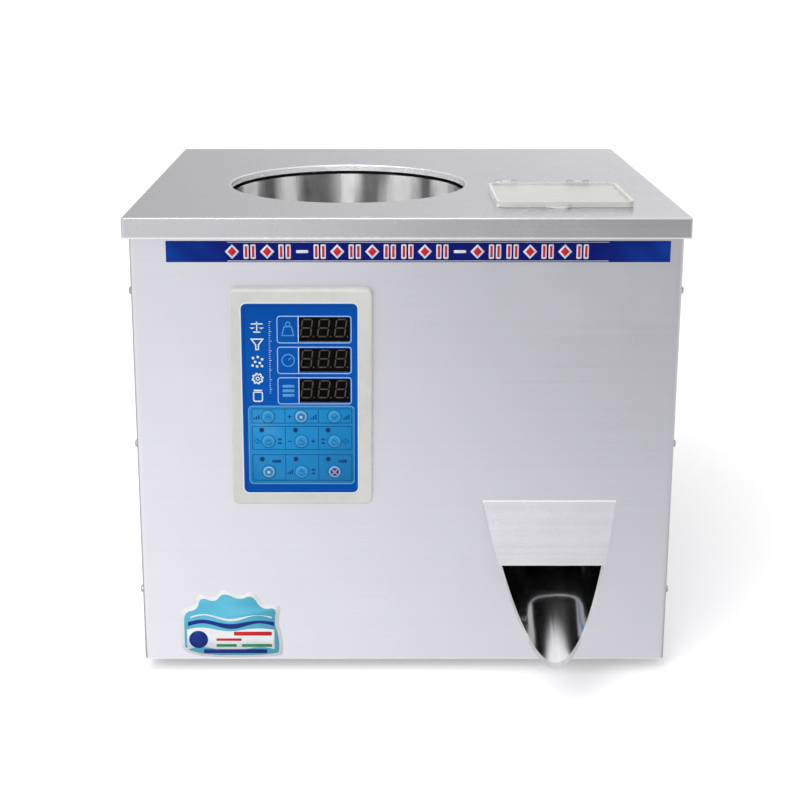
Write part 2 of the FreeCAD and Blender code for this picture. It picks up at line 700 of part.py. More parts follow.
def rear_panel():
    """The rear cover with two columns of louvres and the cut-outs for its fittings."""
    wall = case_tube(0, CASE_BOTTOM, PLATE_UNDER)
    sheet = wall.cut(half_space(V(0, REAR_Y - CASE_RETURN, 0), BACK * -1))
    inner_x = CASE_WIDTH / 2 - SHEET - BEND_RADIUS
    flange = top_flange((-inner_x, inner_x), (REAR_Y - TOP_FLANGE, REAR_Y))
    outer, inner = louvre_hood()
    hoods = [on_rear(outer, x, z) for x, z in louvre_places()]
    hollows = [on_rear(inner, x, z) for x, z in louvre_places()]
    slot = block(
        (-LOUVRE_WIDTH / 2 + LOUVRE_WALL, LOUVRE_WIDTH / 2 - LOUVRE_WALL),
        (0, LOUVRE_HEIGHT - 3 * LOUVRE_WALL), (-2 * SHEET, FIT_GAP))
    slots = [on_rear(slot, x, z) for x, z in louvre_places()]
    return drilled(fused([sheet, flange] + hoods).cut(hollows + slots + rear_cut_outs()))


def corner_posts():
    """Four upright angles inside the corners, which the panels are screwed to."""
    inset = SHEET + FIT_GAP
    tube = case_tube(inset, CASE_BOTTOM + TRAY_LIP, PLATE_UNDER - SHEET)
    posts = []
    for side in (-1, 1):
        for near_y, way in ((FRONT_Y + inset, 1), (REAR_Y - inset, -1)):
            x = sorted((side * (CASE_WIDTH / 2 - inset), side * (CASE_WIDTH / 2 - inset - POST_LEG)))
            y = sorted((near_y, near_y + way * POST_LEG))
            posts.append(drilled(tube.common(block(x, y, (CASE_BOTTOM, PLATE_TOP)))))
    return group(posts)


def foot_places():
    """The four corners where the feet are."""
    x = CASE_WIDTH / 2 - FOOT_INSET
    return [(side * x, y) for side in (-1, 1) for y in (FRONT_Y + FOOT_INSET, REAR_Y - FOOT_INSET)]


def base_plate():
    """The base tray: a floor with cooling slots and a lip that the panels close over."""
    inset = SHEET + FIT_GAP
    lip = case_tube(inset, CASE_BOTTOM, CASE_BOTTOM + TRAY_LIP)
    floor = rounded_prism(
        CASE_WIDTH - 2 * inset, CASE_DEPTH - 2 * inset, max(BEND_RADIUS - inset, SHEET) + SHEET,
        CASE_BOTTOM, TRAY_TOP)
    floor.translate(V(0, CASE_MIDDLE_Y, 0))
    cuts = []
    for x, y in foot_places():
        cuts.append(moved(disc(FOOT_SCREW_RADIUS + FIT_GAP, 0, TRAY_TOP + SHEET), x, y))
    slot = rounded_prism(TRAY_SLOT_LENGTH, TRAY_SLOT_WIDTH, TRAY_SLOT_WIDTH / 2 - FIT_GAP, 0, TRAY_TOP + SHEET)
    for row in range(TRAY_SLOT_COUNT):
        cuts.append(moved(slot, DRIVER_X, DRIVER_Y + (row - (TRAY_SLOT_COUNT - 1) / 2) * TRAY_SLOT_PITCH))
    return fused([lip, floor]).cut(cuts)


def rubber_feet():
    """Four tapered feet with a recess for the screw head."""
    bore = FOOT_SCREW_RADIUS + FIT_GAP
    profile = [
        (bore, FOOT_RECESS_DEPTH), (FOOT_RECESS, FOOT_RECESS_DEPTH), (FOOT_RECESS, 0),
        (FOOT_RADIUS - FOOT_TAPER, 0), (FOOT_RADIUS, FOOT_HEIGHT), (bore, FOOT_HEIGHT)]
    return group([turned(profile, V(x, y, 0)) for x, y in foot_places()])


def foot_screws():
    """A screw and nut through each foot and the base plate."""
    head_bottom = FOOT_RECESS_DEPTH - FOOT_SCREW_HEAD_HEIGHT
    nut_corner = FOOT_NUT_ACROSS / math.sqrt(3)
    corners = []
    for turn in range(6):
        angle = math.radians(60 * turn)
        corners.append(V(nut_corner * math.cos(angle), nut_corner * math.sin(angle), TRAY_TOP))
    screws = []
    for x, y in foot_places():
        head = disc(FOOT_SCREW_HEAD, head_bottom, FOOT_RECESS_DEPTH)
        shank = disc(FOOT_SCREW_RADIUS, head_bottom, TRAY_TOP + 2 * FOOT_NUT_HEIGHT)
        nut = profile_prism(corners, V(0, 0, FOOT_NUT_HEIGHT))
        screws.append(moved(fused([head, shank, nut]), x, y))
    return screws


def case_screws():
    """Pan-head screws that hold the panels to the corner posts, and the screws of the feet."""
    dome = SCREW_HEAD_HEIGHT / 2
    profile = [
        (0, -SCREW_LENGTH), (SCREW_RADIUS, -SCREW_LENGTH), (SCREW_RADIUS, 0), (SCREW_HEAD_RADIUS, 0),
        (SCREW_HEAD_RADIUS, dome), (SCREW_HEAD_RADIUS - dome, SCREW_HEAD_HEIGHT), (0, SCREW_HEAD_HEIGHT)]
    screws = []
    for point, out in screw_places():
        screw = turned(profile)
        screw.Placement = FreeCAD.Placement(point, FreeCAD.Rotation(UP, out))
        screws.append(screw)
    return group(screws + foot_screws())


def banner_strip():
    """The thin printed strip below the skirt."""
    top = PLATE_TOP - PLATE_SKIRT - BANNER_DROP
    return block((BANNER_LEFT, BANNER_RIGHT), (FRONT_Y - BANNER_THICK, FRONT_Y), (top - BANNER_HEIGHT, top))


# Clear lid over the access opening

def hinge_places():
    """Where the middles of the two lid hinges are along X."""
    middle = LID_X + LID_HINGE_SHIFT
    return (middle - LID_HINGE_SPREAD / 2, middle + LID_HINGE_SPREAD / 2)


def lid_rod(x, radius, length):
    """A rod on the lid's hinge axis, centred at x."""
    return Part.makeCylinder(radius, length, V(x - length / 2, LID_AXIS_Y, LID_AXIS_Z), RIGHT)


def access_lid():
    """The clear lid: a plate with a raised rim, a finger tab and two hinge knuckles."""
    top = LID_BOTTOM + LID_THICK
    plate = rounded_prism(LID_WIDTH, LID_DEPTH, LID_CORNER, LID_BOTTOM, top)
    rim = rounded_prism(LID_WIDTH, LID_DEPTH, LID_CORNER, top, top + LID_RIM_HEIGHT)
    hollow = rounded_prism(
        LID_WIDTH - 2 * LID_RIM_WIDTH, LID_DEPTH - 2 * LID_RIM_WIDTH, LID_CORNER - LID_RIM_WIDTH,
        top, top + LID_RIM_HEIGHT)
    tab = disc(LID_TAB_RADIUS, LID_BOTTOM, top)
    tab.translate(V(LID_TAB_X, LID_TAB_RADIUS - LID_TAB_REACH - LID_DEPTH / 2, 0))
    lid = fused([plate, rim.cut(hollow), tab])
    lid.translate(V(LID_X, LID_Y, 0))
    pieces = [lid]
    bores = []
    for x in hinge_places():
        pieces.append(lid_rod(x, LID_KNUCKLE_RADIUS, LID_KNUCKLE_WIDTH))
        half = LID_KNUCKLE_WIDTH / 2
        leaf_y = (LID_BACK_Y - LID_RIM_WIDTH, LID_AXIS_Y)
        pieces.append(block((x - half, x + half), leaf_y, (LID_BOTTOM + LID_KNUCKLE_LIFT, top)))
        bores.append(lid_rod(x, LID_PIN_RADIUS + RUNNING_GAP, LID_HINGE_WIDTH))
    return fused(pieces).cut(bores)


def lid_hinge_brackets():
    """Two fixed hinge leaves on the plate, each with a knuckle on both sides of the lid's."""
    brackets = []
    side = (LID_HINGE_WIDTH - LID_KNUCKLE_WIDTH) / 2 - BODY_GAP
    for x in hinge_places():
        leaf_front = LID_AXIS_Y + LID_KNUCKLE_RADIUS + BODY_GAP
        leaf_y = (leaf_front, leaf_front + LID_LEAF_DEPTH)
        half = LID_HINGE_WIDTH / 2
        pieces = [block((x - half, x + half), leaf_y, (PLATE_TOP, PLATE_TOP + LID_LEAF_THICK))]
        for way in (-1, 1):
            middle = x + way * (half - side / 2)
            pieces.append(lid_rod(middle, LID_KNUCKLE_RADIUS, side))
            limits = (middle - side / 2, middle + side / 2)
            pieces.append(block(limits, (LID_AXIS_Y, leaf_front), (PLATE_TOP, PLATE_TOP + LID_AXIS_LIFT)))
        bore = lid_rod(x, LID_PIN_RADIUS, LID_HINGE_WIDTH)
        bracket = fused(pieces).cut(bore)
        brackets.append(bracket)
    return group(brackets)


def lid_hinge_pins():
    """The two hinge pins, held in the fixed knuckles."""
    return group([lid_rod(x, LID_PIN_RADIUS, LID_HINGE_WIDTH) for x in hinge_places()])


# Control panel

def panel_shape(width, height, radius, low, high, x=0.0, z=0.0):
    """A rounded plate on the control panel, between two distances in front of the case."""
    return on_front(rounded_prism(width, height, radius, low, high), PANEL_X + x, PANEL_Z + z)


def panel_round(radius, low, high, x, z):
    """A round piece on the control panel, between two distances in front of the case."""
    return on_front(disc(radius, low, high), PANEL_X + x, PANEL_Z + z)


def display_places():
    """The middles of the three display windows."""
    return [(DISPLAY_X, DISPLAY_TOP_Z - row * DISPLAY_PITCH) for row in range(DISPLAY_COUNT)]


def key_places():
    """The nine keys, row by row from the upper left."""
    return [(x, z) for z in KEY_ROWS for x in KEY_COLUMNS]


def lamp_places():
    """The indicator lamps above the second and third rows of keys."""
    return [(x, z) for z in LAMP_ROWS for x in LAMP_COLUMNS]


def panel_holes(low, high):
    """The windows and round holes through bezel and overlay."""
    holes = []
    for x, z in display_places():
        width = DISPLAY_WIDTH + 2 * FIT_GAP
        height = DISPLAY_HEIGHT + 2 * FIT_GAP
        holes.append(panel_shape(width, height, DISPLAY_EDGE, low, high, x, z))
    for x, z in key_places():
        holes.append(panel_round(KEY_RADIUS + KEY_GAP, low, high, x, z))
    for x, z in lamp_places():
        holes.append(panel_round(LAMP_RADIUS + FIT_GAP, low, high, x, z))
    return holes


def panel_bezel():
    """The moulded frame: a shallow tray with a recessed face for the overlay."""
    outer = rounded_prism(BEZEL_WIDTH, BEZEL_HEIGHT, BEZEL_CORNER, 0, BEZEL_PROUD)
    outer = on_front(fillet_where(outer, BEZEL_EDGE, level_at(BEZEL_PROUD)), PANEL_X, PANEL_Z)
    face_back = BEZEL_PROUD - BEZEL_WALL
    hollow = panel_shape(
        BEZEL_WIDTH - 2 * BEZEL_WALL, BEZEL_HEIGHT - 2 * BEZEL_WALL, BEZEL_CORNER - BEZEL_WALL, 0, face_back)
    recess = panel_shape(
        OVERLAY_WIDTH + 2 * FIT_GAP, OVERLAY_HEIGHT + 2 * FIT_GAP, OVERLAY_CORNER + FIT_GAP,
        BEZEL_PROUD - OVERLAY_THICK, 2 * BEZEL_PROUD, OVERLAY_X, OVERLAY_Z)
    return outer.cut([hollow, recess] + panel_holes(0, 2 * BEZEL_PROUD))


def panel_overlay():
    """The printed overlay in the bezel's recess."""
    sheet = panel_shape(
        OVERLAY_WIDTH, OVERLAY_HEIGHT, OVERLAY_CORNER, BEZEL_PROUD - OVERLAY_THICK, BEZEL_PROUD,
        OVERLAY_X, OVERLAY_Z)
    return sheet.cut(panel_holes(0, 2 * BEZEL_PROUD))


def panel_key(x, z):
    """One key: domed head, a flange that keeps it behind the bezel, and a short stem."""
    flange_front = BEZEL_PROUD - BEZEL_WALL - KEY_GAP / 2
    flange_back = flange_front - KEY_FLANGE_THICK
    top = BEZEL_PROUD + KEY_DOME
    ball_radius = (KEY_RADIUS ** 2 + KEY_DOME ** 2) / (2 * KEY_DOME)
    ball = Part.makeSphere(ball_radius, V(0, 0, top - ball_radius))
    head = disc(KEY_RADIUS, flange_back, top).common(ball)
    flange = disc(KEY_RADIUS + KEY_FLANGE, flange_back, flange_front)
    stem = disc(KEY_STEM_RADIUS, flange_back - KEY_STEM_LENGTH, flange_back)
    return on_front(fused([head, flange, stem]), PANEL_X + x, PANEL_Z + z)


def display_modules():
    """Three display modules, from the board to just behind the windows."""
    front = BEZEL_PROUD - DISPLAY_SINK
    return group([
        panel_shape(DISPLAY_WIDTH, DISPLAY_HEIGHT, DISPLAY_EDGE, BOARD_FRONT, front, x, z)
        for x, z in display_places()])


def indicator_lamps():
    """Six round lamps that reach through the overlay."""
    front = BEZEL_PROUD + LAMP_PROUD
    return group([panel_round(LAMP_RADIUS, BOARD_FRONT, front, x, z) for x, z in lamp_places()])


def key_switches():
    """Nine push switches on the board, one under each key."""
    pieces = []
    body_front = BOARD_FRONT + SWITCH_BODY
    for x, z in key_places():
        pieces.append(panel_shape(SWITCH_SIZE, SWITCH_SIZE, DISPLAY_EDGE, BOARD_FRONT, body_front, x, z))
        pieces.append(panel_round(SWITCH_PLUNGER, body_front, body_front + SWITCH_PLUNGER_HEIGHT, x, z))
    return pieces


def board_post_places():
    """The four corners of the board where its posts are."""
    x = BOARD_WIDTH / 2 - POST_INSET_X
    z = BOARD_HEIGHT / 2 - POST_INSET_Z
    return [(side * x, level * z) for side in (-1, 1) for level in (-1, 1)]


def board_posts():
    """Four posts between the board and the back of the bezel's face."""
    face_back = BEZEL_PROUD - BEZEL_WALL
    return [panel_round(POST_RADIUS, BOARD_FRONT, face_back, x, z) for x, z in board_post_places()]


def behind_board(size, x, z):
    """A block on the back of the control board, size given as width, height and depth."""
    back = BOARD_FRONT - BOARD_THICK
    return panel_shape(size[0], size[1], DISPLAY_EDGE, back - size[2], back, x, z)


def control_board():
    """The control board with its soldered switches, its posts and the larger parts on its back."""
    board = panel_shape(BOARD_WIDTH, BOARD_HEIGHT, SHEET, BOARD_FRONT - BOARD_THICK, BOARD_FRONT)
    quarter = BOARD_HEIGHT / 4
    parts = [
        behind_board(CHIP_SIZE, -CHIP_SIZE[0] / 2, quarter),
        behind_board(CHIP_SIZE, CHIP_SIZE[0], 0),
        behind_board(RELAY_SIZE, -CHIP_SIZE[0], -quarter / 2),
        behind_board(CONNECTOR_SIZE, 0, -2 * quarter + CONNECTOR_SIZE[1]),
    ]
    return fused([board] + parts + key_switches() + board_posts())


# Vibrating bowl

def along_spout(shape):
    """A shape built along +X, put on the line that leaves the track and runs to the weighing hopper."""
    copy = shape.copy()
    copy.rotate(ORIGIN, BACK, SPOUT_SLOPE)
    copy.translate(V(0, -TRACK_MIDDLE, TRACK_END_Z))
    copy.rotate(ORIGIN, UP, math.degrees(SPOUT_BEARING) + 90)
    copy.translate(BOWL_AXIS)
    return copy


def bowl_shell():
    """The polished bowl: rolled rim, coned floor and a window where the track leaves."""
    floor = BOWL_BOTTOM + BOWL_WALL
    bore = CLAMP_BOLT_RADIUS + FIT_GAP
    profile = [
        (bore, BOWL_BOTTOM + BOWL_CONE),
        (BOWL_LAND, BOWL_BOTTOM + BOWL_CONE),
        (BOWL_FLAT_START, BOWL_BOTTOM),
        (BOWL_RADIUS - BOWL_FOOT_BEVEL, BOWL_BOTTOM),
        (BOWL_RADIUS, BOWL_BOTTOM + BOWL_FOOT_BEVEL),
        (BOWL_RADIUS, BOWL_RIM - BOWL_BEAD_HEIGHT),
        (BOWL_RADIUS + BOWL_BEAD, BOWL_RIM - BOWL_BEAD_HEIGHT),
        (BOWL_RADIUS + BOWL_BEAD, BOWL_RIM),
        (BOWL_INNER, BOWL_RIM),
        (BOWL_INNER, floor),
        (BOWL_FLAT_START, floor),
        (BOWL_LAND, floor + BOWL_CONE),
        (bore, floor + BOWL_CONE),
    ]
    half = TRACK_WIDTH / 2 + BODY_GAP
    window = block((0, BOWL_RADIUS), (-half, half), (-BODY_GAP, TRACK_THICK + SPOUT_SIDE + BODY_GAP))
    return turned(profile, BOWL_AXIS).cut(along_spout(window))


def spiral_track():
    """The ramp round the inside of the bowl, with a low lip on its inner edge."""
    inner = TRACK_OUTER - TRACK_WIDTH
    section = [
        V(inner, 0, 0), V(TRACK_OUTER, 0, 0), V(TRACK_OUTER, 0, TRACK_THICK),
        V(inner + TRACK_LIP_WALL, 0, TRACK_THICK), V(inner + TRACK_LIP_WALL, 0, TRACK_THICK + TRACK_LIP),
        V(inner, 0, TRACK_THICK + TRACK_LIP)]
    helix = Part.makeHelix(TRACK_PITCH, TRACK_PITCH * TRACK_TURNS, TRACK_MIDDLE)
    track = Part.Wire(helix.Edges).makePipeShell([Part.makePolygon(section + section[:1])], True, True)
    track = Part.Solid(track) if track.ShapeType == "Shell" else track
    track.translate(V(0, 0, TRACK_START_Z))
    track.rotate(ORIGIN, UP, math.degrees(SPOUT_BEARING) - 360 * TRACK_TURNS)
    track.translate(BOWL_AXIS)
    return track


def bowl_outlet_spout():
    """The open channel from the end of the track, through the bowl's wall, to the weighing hopper."""
    half = TRACK_WIDTH / 2
    start = BODY_GAP
    leaves_bowl = math.sqrt(BOWL_RADIUS ** 2 - (TRACK_MIDDLE - half) ** 2)
    floor = block((start, SPOUT_LENGTH), (-half, half), (0, TRACK_THICK))
    outer_side = block((start, SPOUT_LENGTH), (-half, -half + SPOUT_WALL), (0, TRACK_THICK + SPOUT_SIDE))
    inner_side = block((leaves_bowl, SPOUT_LENGTH), (half - SPOUT_WALL, half), (0, TRACK_THICK + SPOUT_SIDE))
    lip = block((start, SPOUT_LENGTH), (half - SPOUT_WALL, half), (0, TRACK_THICK + TRACK_LIP))
    return along_spout(fused([floor, outer_side, inner_side, lip]))


def bowl_clamp_bolt():
    """The domed bolt in the middle of the bowl, which holds it on the drive."""
    land = BOWL_BOTTOM + BOWL_CONE + BOWL_WALL
    ball_radius = (CLAMP_HEAD_RADIUS ** 2 + CLAMP_HEAD_HEIGHT ** 2) / (2 * CLAMP_HEAD_HEIGHT)
    ball = Part.makeSphere(ball_radius, V(0, 0, land + CLAMP_HEAD_HEIGHT - ball_radius))
    head = disc(CLAMP_HEAD_RADIUS, land, land + CLAMP_HEAD_HEIGHT).common(ball)
    shank = disc(CLAMP_BOLT_RADIUS, MOUNT_BOTTOM, land)
    bolt = fused([head, shank])
    bolt.translate(BOWL_AXIS)
    return bolt


# Drive of the bowl

def at_station(shape, index):
    """A shape built upright at the middle of a leaf spring, leaned over and put at its station."""
    copy = shape.copy()
    copy.rotate(ORIGIN, BACK, -SPRING_LEAN)
    copy.translate(V(0, SPRING_RADIUS, SPRING_MIDDLE_Z))
    copy.rotate(ORIGIN, UP, SPRING_AZIMUTH + index * 360 / SPRING_COUNT)
    copy.translate(BOWL_AXIS)
    return copy


def at_all_stations(shape):
    """The same shape at every spring station."""
    return [at_station(shape, index) for index in range(SPRING_COUNT)]


def spring_bed(low, high):
    """The block that a leaf spring's end is screwed to, between two heights along the spring."""
    return block((-PAD_THICK, 0), (-SPRING_WIDTH / 2, SPRING_WIDTH / 2), (low, high))


def spring_room():
    """Free space beside a leaf spring for the leaf, its clamp plate and screw."""
    reach = SPRING_THICK + CLAMP_PLATE + CLAMP_SCREW_HEAD + 2 * SPRING_ROOM
    half = SPRING_WIDTH / 2 + SPRING_ROOM
    return block((0, reach), (-half, DRIVE_BASE_RADIUS), (-SPRING_HALF - SPRING_ROOM, SPRING_HALF + SPRING_ROOM))


def leaf_springs():
    """The leaning leaves that let the bowl swing and lift a little at each pull of the magnet."""
    leaf = block((0, SPRING_THICK), (-SPRING_WIDTH / 2, SPRING_WIDTH / 2), (-SPRING_HALF, SPRING_HALF))
    return group(at_all_stations(leaf))


def spring_clamps(way):
    """Clamp plates with their screws at the lower (-1) or upper (1) ends of the leaves."""
    far = SPRING_HALF
    near = far - CLAMP_PLATE_HEIGHT
    low, high = sorted((way * near, way * far))
    outer = SPRING_THICK + CLAMP_PLATE
    plate = block((SPRING_THICK, outer), (-SPRING_WIDTH / 2, SPRING_WIDTH / 2), (low, high))
    head = Part.makeCylinder(CLAMP_SCREW_RADIUS, CLAMP_SCREW_HEAD, V(outer, 0, (low + high) / 2), RIGHT)
    return group(at_all_stations(fused([plate, head])))


def lower_spring_clamps():
    """The clamps on the drive's base."""
    return spring_clamps(-1)


def upper_spring_clamps():
    """The clamps under the bowl."""
    return spring_clamps(1)


def bowl_mount_plate():
    """The plate under the bowl, notched for the leaves, with a bed for each."""
    bore = CLAMP_BOLT_RADIUS + FIT_GAP
    boss_top = BOWL_BOTTOM + BOWL_CONE
    profile = [
        (bore, MOUNT_BOTTOM), (MOUNT_RADIUS, MOUNT_BOTTOM), (MOUNT_RADIUS, BOWL_BOTTOM),
        (BOWL_LAND, BOWL_BOTTOM), (BOWL_LAND, boss_top), (bore, boss_top)]
    plate = turned(profile, BOWL_AXIS).cut(at_all_stations(spring_room()))
    bed = spring_bed(SPRING_HALF - CLAMP_PLATE_HEIGHT, SPRING_HALF)
    above = half_space(V(0, 0, BOWL_BOTTOM), UP)
    beds = [shape.cut(above) for shape in at_all_stations(bed)]
    return fused([plate] + beds)


def drive_base():
    """The heavy casting that the leaves stand on, with a boss for the magnet."""
    bevel = DRIVE_BASE_BEVEL
    profile = [
        (0, DRIVE_BASE_BOTTOM), (DRIVE_BASE_RADIUS - bevel, DRIVE_BASE_BOTTOM),
        (DRIVE_BASE_RADIUS, DRIVE_BASE_BOTTOM + bevel), (DRIVE_BASE_RADIUS, DRIVE_BASE_TOP - bevel),
        (DRIVE_BASE_RADIUS - bevel, DRIVE_BASE_TOP), (DRIVE_BOSS_RADIUS, DRIVE_BASE_TOP),
        (DRIVE_BOSS_RADIUS, CORE_BOTTOM), (0, CORE_BOTTOM)]
    casting = turned(profile, BOWL_AXIS).cut(at_all_stations(spring_room()))
    bed = spring_bed(-SPRING_HALF, CLAMP_PLATE_HEIGHT - SPRING_HALF)
    return fused([casting] + at_all_stations(bed))


def isolation_mounts():
    """Waisted rubber mounts between the drive and the bridge."""
    third = ISOLATOR_HEIGHT / 3
    profile = [
        (0, BRIDGE_TOP), (ISOLATOR_RADIUS, BRIDGE_TOP), (ISOLATOR_RADIUS - ISOLATOR_WAIST, BRIDGE_TOP + third),
        (ISOLATOR_RADIUS - ISOLATOR_WAIST, DRIVE_BASE_BOTTOM - third), (ISOLATOR_RADIUS, DRIVE_BASE_BOTTOM),
        (0, DRIVE_BASE_BOTTOM)]
    mounts = []
    for index in range(ISOLATOR_COUNT):
        angle = math.radians(45 + index * 360 / ISOLATOR_COUNT)
        place = V(math.cos(angle), math.sin(angle), 0) * ISOLATOR_SPREAD
        mounts.append(turned(profile, BOWL_AXIS + place))
    return group(mounts)


def feeder_bridge():
    """A folded table over the base tray that carries the drive."""
    half = BRIDGE_WIDTH / 2
    inner = half - BRIDGE_SHEET
    outer = half + BRIDGE_FOOT
    foot_top = TRAY_TOP + BRIDGE_SHEET
    under = BRIDGE_TOP - BRIDGE_SHEET
    y = HOPPER_Y - BRIDGE_DEPTH / 2
    corners = [
        (-outer, TRAY_TOP), (-inner, TRAY_TOP), (-inner, under), (inner, under), (inner, TRAY_TOP),
        (outer, TRAY_TOP), (outer, foot_top), (half, foot_top), (half, BRIDGE_TOP), (-half, BRIDGE_TOP),
        (-half, foot_top), (-outer, foot_top)]
    points = [V(HOPPER_X + x, y, z) for x, z in corners]
    return profile_prism(points, V(0, BRIDGE_DEPTH, 0))


def armature():
    """The iron block under the bowl that the magnet pulls."""
    half = ARMATURE_WIDTH / 2
    plate = block((-half, half), (-CORE_DEPTH / 2, CORE_DEPTH / 2), (MOUNT_BOTTOM - ARMATURE_THICK, MOUNT_BOTTOM))
    bore = disc(CLAMP_BOLT_RADIUS + FIT_GAP, MOUNT_BOTTOM - ARMATURE_THICK, MOUNT_BOTTOM)
    solid = plate.cut(bore)
    solid.translate(BOWL_AXIS)
    return solid


def magnet_core():
    """The laminated core with three legs."""
    half = CORE_WIDTH / 2
    deep = (-CORE_DEPTH / 2, CORE_DEPTH / 2)
    solid = block((-half, half), deep, (CORE_BOTTOM, CORE_TOP))
    for way in (-1, 1):
        window = sorted((way * CORE_LEG, way * (half - CORE_LEG)))
        solid = solid.cut(block(window, deep, (CORE_BOTTOM + CORE_YOKE, CORE_TOP)))
    solid.translate(BOWL_AXIS)
    return solid


def magnet_coil():
    """The winding round the core's middle leg."""
    low = CORE_BOTTOM + CORE_YOKE + COIL_GAP
    high = CORE_TOP - COIL_TOP_ROOM
    inner_x = CORE_LEG + COIL_GAP
    inner_y = CORE_DEPTH / 2 + COIL_GAP
    outer = rounded_prism(2 * (inner_x + COIL_WALL), 2 * (inner_y + COIL_WALL), COIL_WALL / 2, low, high)
    solid = outer.cut(block((-inner_x, inner_x), (-inner_y, inner_y), (low, high)))
    solid.translate(BOWL_AXIS)
    return solid


# Weighing hopper and its gate

def weigh_skin(grow):
    """The funnel's solid form, grown outwards by a wall."""
    wide = (WEIGH_WIDTH + 2 * grow, WEIGH_DEPTH + 2 * grow, WEIGH_CORNER + grow)
    narrow = (WEIGH_OUTLET_WIDTH + 2 * grow, WEIGH_OUTLET_DEPTH + 2 * grow, WEIGH_OUTLET_CORNER + grow)
    straight = rounded_prism(*wide, WEIGH_SHOULDER, WEIGH_TOP)
    taper = Part.makeLoft([rounded_wire(*narrow, WEIGH_BOTTOM), rounded_wire(*wide, WEIGH_SHOULDER)], True, True)
    skin = fused([straight, taper])
    skin.translate(V(WEIGH_X, WEIGH_Y, 0))
    return skin


def gate_lugs():
    """Two lugs welded to the back of the hopper for the gate's pin."""
    lugs = []
    inner = GATE_BARREL_LENGTH / 2 + LUG_GAP
    for way in (-1, 1):
        x = sorted((WEIGH_X + way * inner, WEIGH_X + way * (inner + LUG_THICK)))
        front_y = WEIGH_Y + WEIGH_OUTLET_DEPTH / 2
        points = [
            V(x[0], front_y, GATE_PIVOT_Z), V(x[0], GATE_PIVOT_Y, GATE_PIVOT_Z - GATE_THICK),
            V(x[0], GATE_PIVOT_Y + LUG_RADIUS, GATE_PIVOT_Z),
            V(x[0], GATE_PIVOT_Y + LUG_RADIUS, GATE_PIVOT_Z + LUG_RADIUS),
            V(x[0], GATE_PIVOT_Y, GATE_PIVOT_Z + 3 * LUG_RADIUS),
            V(x[0], front_y, GATE_PIVOT_Z + 3 * LUG_RADIUS)]
        lug = profile_prism(points, V(x[1] - x[0], 0, 0))
        lugs.append(lug.cut(gate_rod(GATE_PIN_RADIUS + RUNNING_GAP, -FAR / 2, FAR / 2)))
    return lugs


def gate_rod(radius, low, high):
    """A rod on the gate's pivot axis, between two distances from the hopper's middle."""
    return Part.makeCylinder(radius, high - low, GATE_PIVOT + RIGHT * low, RIGHT)


def weigh_hopper():
    """The thin-walled hopper that holds one portion while it is weighed."""
    solid = fused([weigh_skin(WEIGH_WALL)] + gate_lugs())
    return solid.cut(weigh_skin(0))


def lever_end(offset):
    """A point on the gate's lever arm at the given distance from the pivot, with the gate shut."""
    return GATE_PIVOT + V(0, -math.sin(HALF_SWING), -math.cos(HALF_SWING)) * offset


def hopper_gate():
    """The flap under the hopper, with its hinge barrel, lever and link pin."""
    half = WEIGH_OUTLET_WIDTH / 2 + WEIGH_WALL + GATE_MARGIN
    front = WEIGH_Y - WEIGH_OUTLET_DEPTH / 2 - GATE_MARGIN
    bottom = GATE_TOP - GATE_THICK
    flap = block((WEIGH_X - half, WEIGH_X + half), (front, GATE_PIVOT_Y), (bottom, GATE_TOP))
    pieces = [flap, gate_rod(GATE_BARREL_RADIUS, -GATE_BARREL_LENGTH / 2, GATE_BARREL_LENGTH / 2)]
    lug_reach = GATE_BARREL_LENGTH / 2 + LUG_GAP + LUG_THICK + GATE_PIN_HEAD + LUG_GAP
    for way in (-1, 1):
        x = sorted((WEIGH_X + way * half, WEIGH_X + way * (half - GATE_THICK)))
        pieces.append(block(x, (front, GATE_PIVOT_Y - 2 * LUG_RADIUS), (bottom, GATE_TOP + GATE_LIP)))
    arm = block(
        (GATE_LEVER_X, GATE_LEVER_X + GATE_LEVER_THICK), (-GATE_LEVER_WIDTH / 2, GATE_LEVER_WIDTH / 2),
        (-GATE_LEVER - GATE_LEVER_WIDTH / 2, 0))
    arm.rotate(ORIGIN, RIGHT, -GATE_SWING / 2)
    arm.translate(GATE_PIVOT)
    pieces.append(arm)
    pin_start = lever_end(GATE_LEVER) + RIGHT * (GATE_LEVER_X + GATE_LEVER_THICK)
    pieces.append(Part.makeCylinder(LINK_PIN_RADIUS, LINK_PIN_LENGTH, pin_start, RIGHT))
    room = []
    for way in (-1, 1):
        x = sorted((WEIGH_X + way * GATE_BARREL_LENGTH / 2, WEIGH_X + way * lug_reach))
        room.append(block(x, (GATE_PIVOT_Y - 3 * LUG_RADIUS, GATE_PIVOT_Y), (bottom, GATE_TOP)))
    bore = gate_rod(GATE_PIN_RADIUS + RUNNING_GAP, -FAR / 2, FAR / 2)
    return fused(pieces).cut(room + [bore])


def gate_pivot_pin():
    """The pin through the lugs and the gate's barrel, with a head at each end."""
    reach = GATE_BARREL_LENGTH / 2 + LUG_GAP + LUG_THICK
    pin = gate_rod(GATE_PIN_RADIUS, -reach, reach)
    head_radius = GATE_PIN_RADIUS + GATE_PIN_HEAD
    heads = [
        gate_rod(head_radius, reach, reach + GATE_PIN_HEAD), gate_rod(head_radius, -reach - GATE_PIN_HEAD, -reach)]
    return fused([pin] + heads)


# Solenoid that opens the gate

def along_plunger(radius, low, high):
    """A rod on the solenoid's axis, between two places along Y."""
    return Part.makeCylinder(radius, high - low, V(PLUNGER_X, low, PLUNGER_Z), BACK)


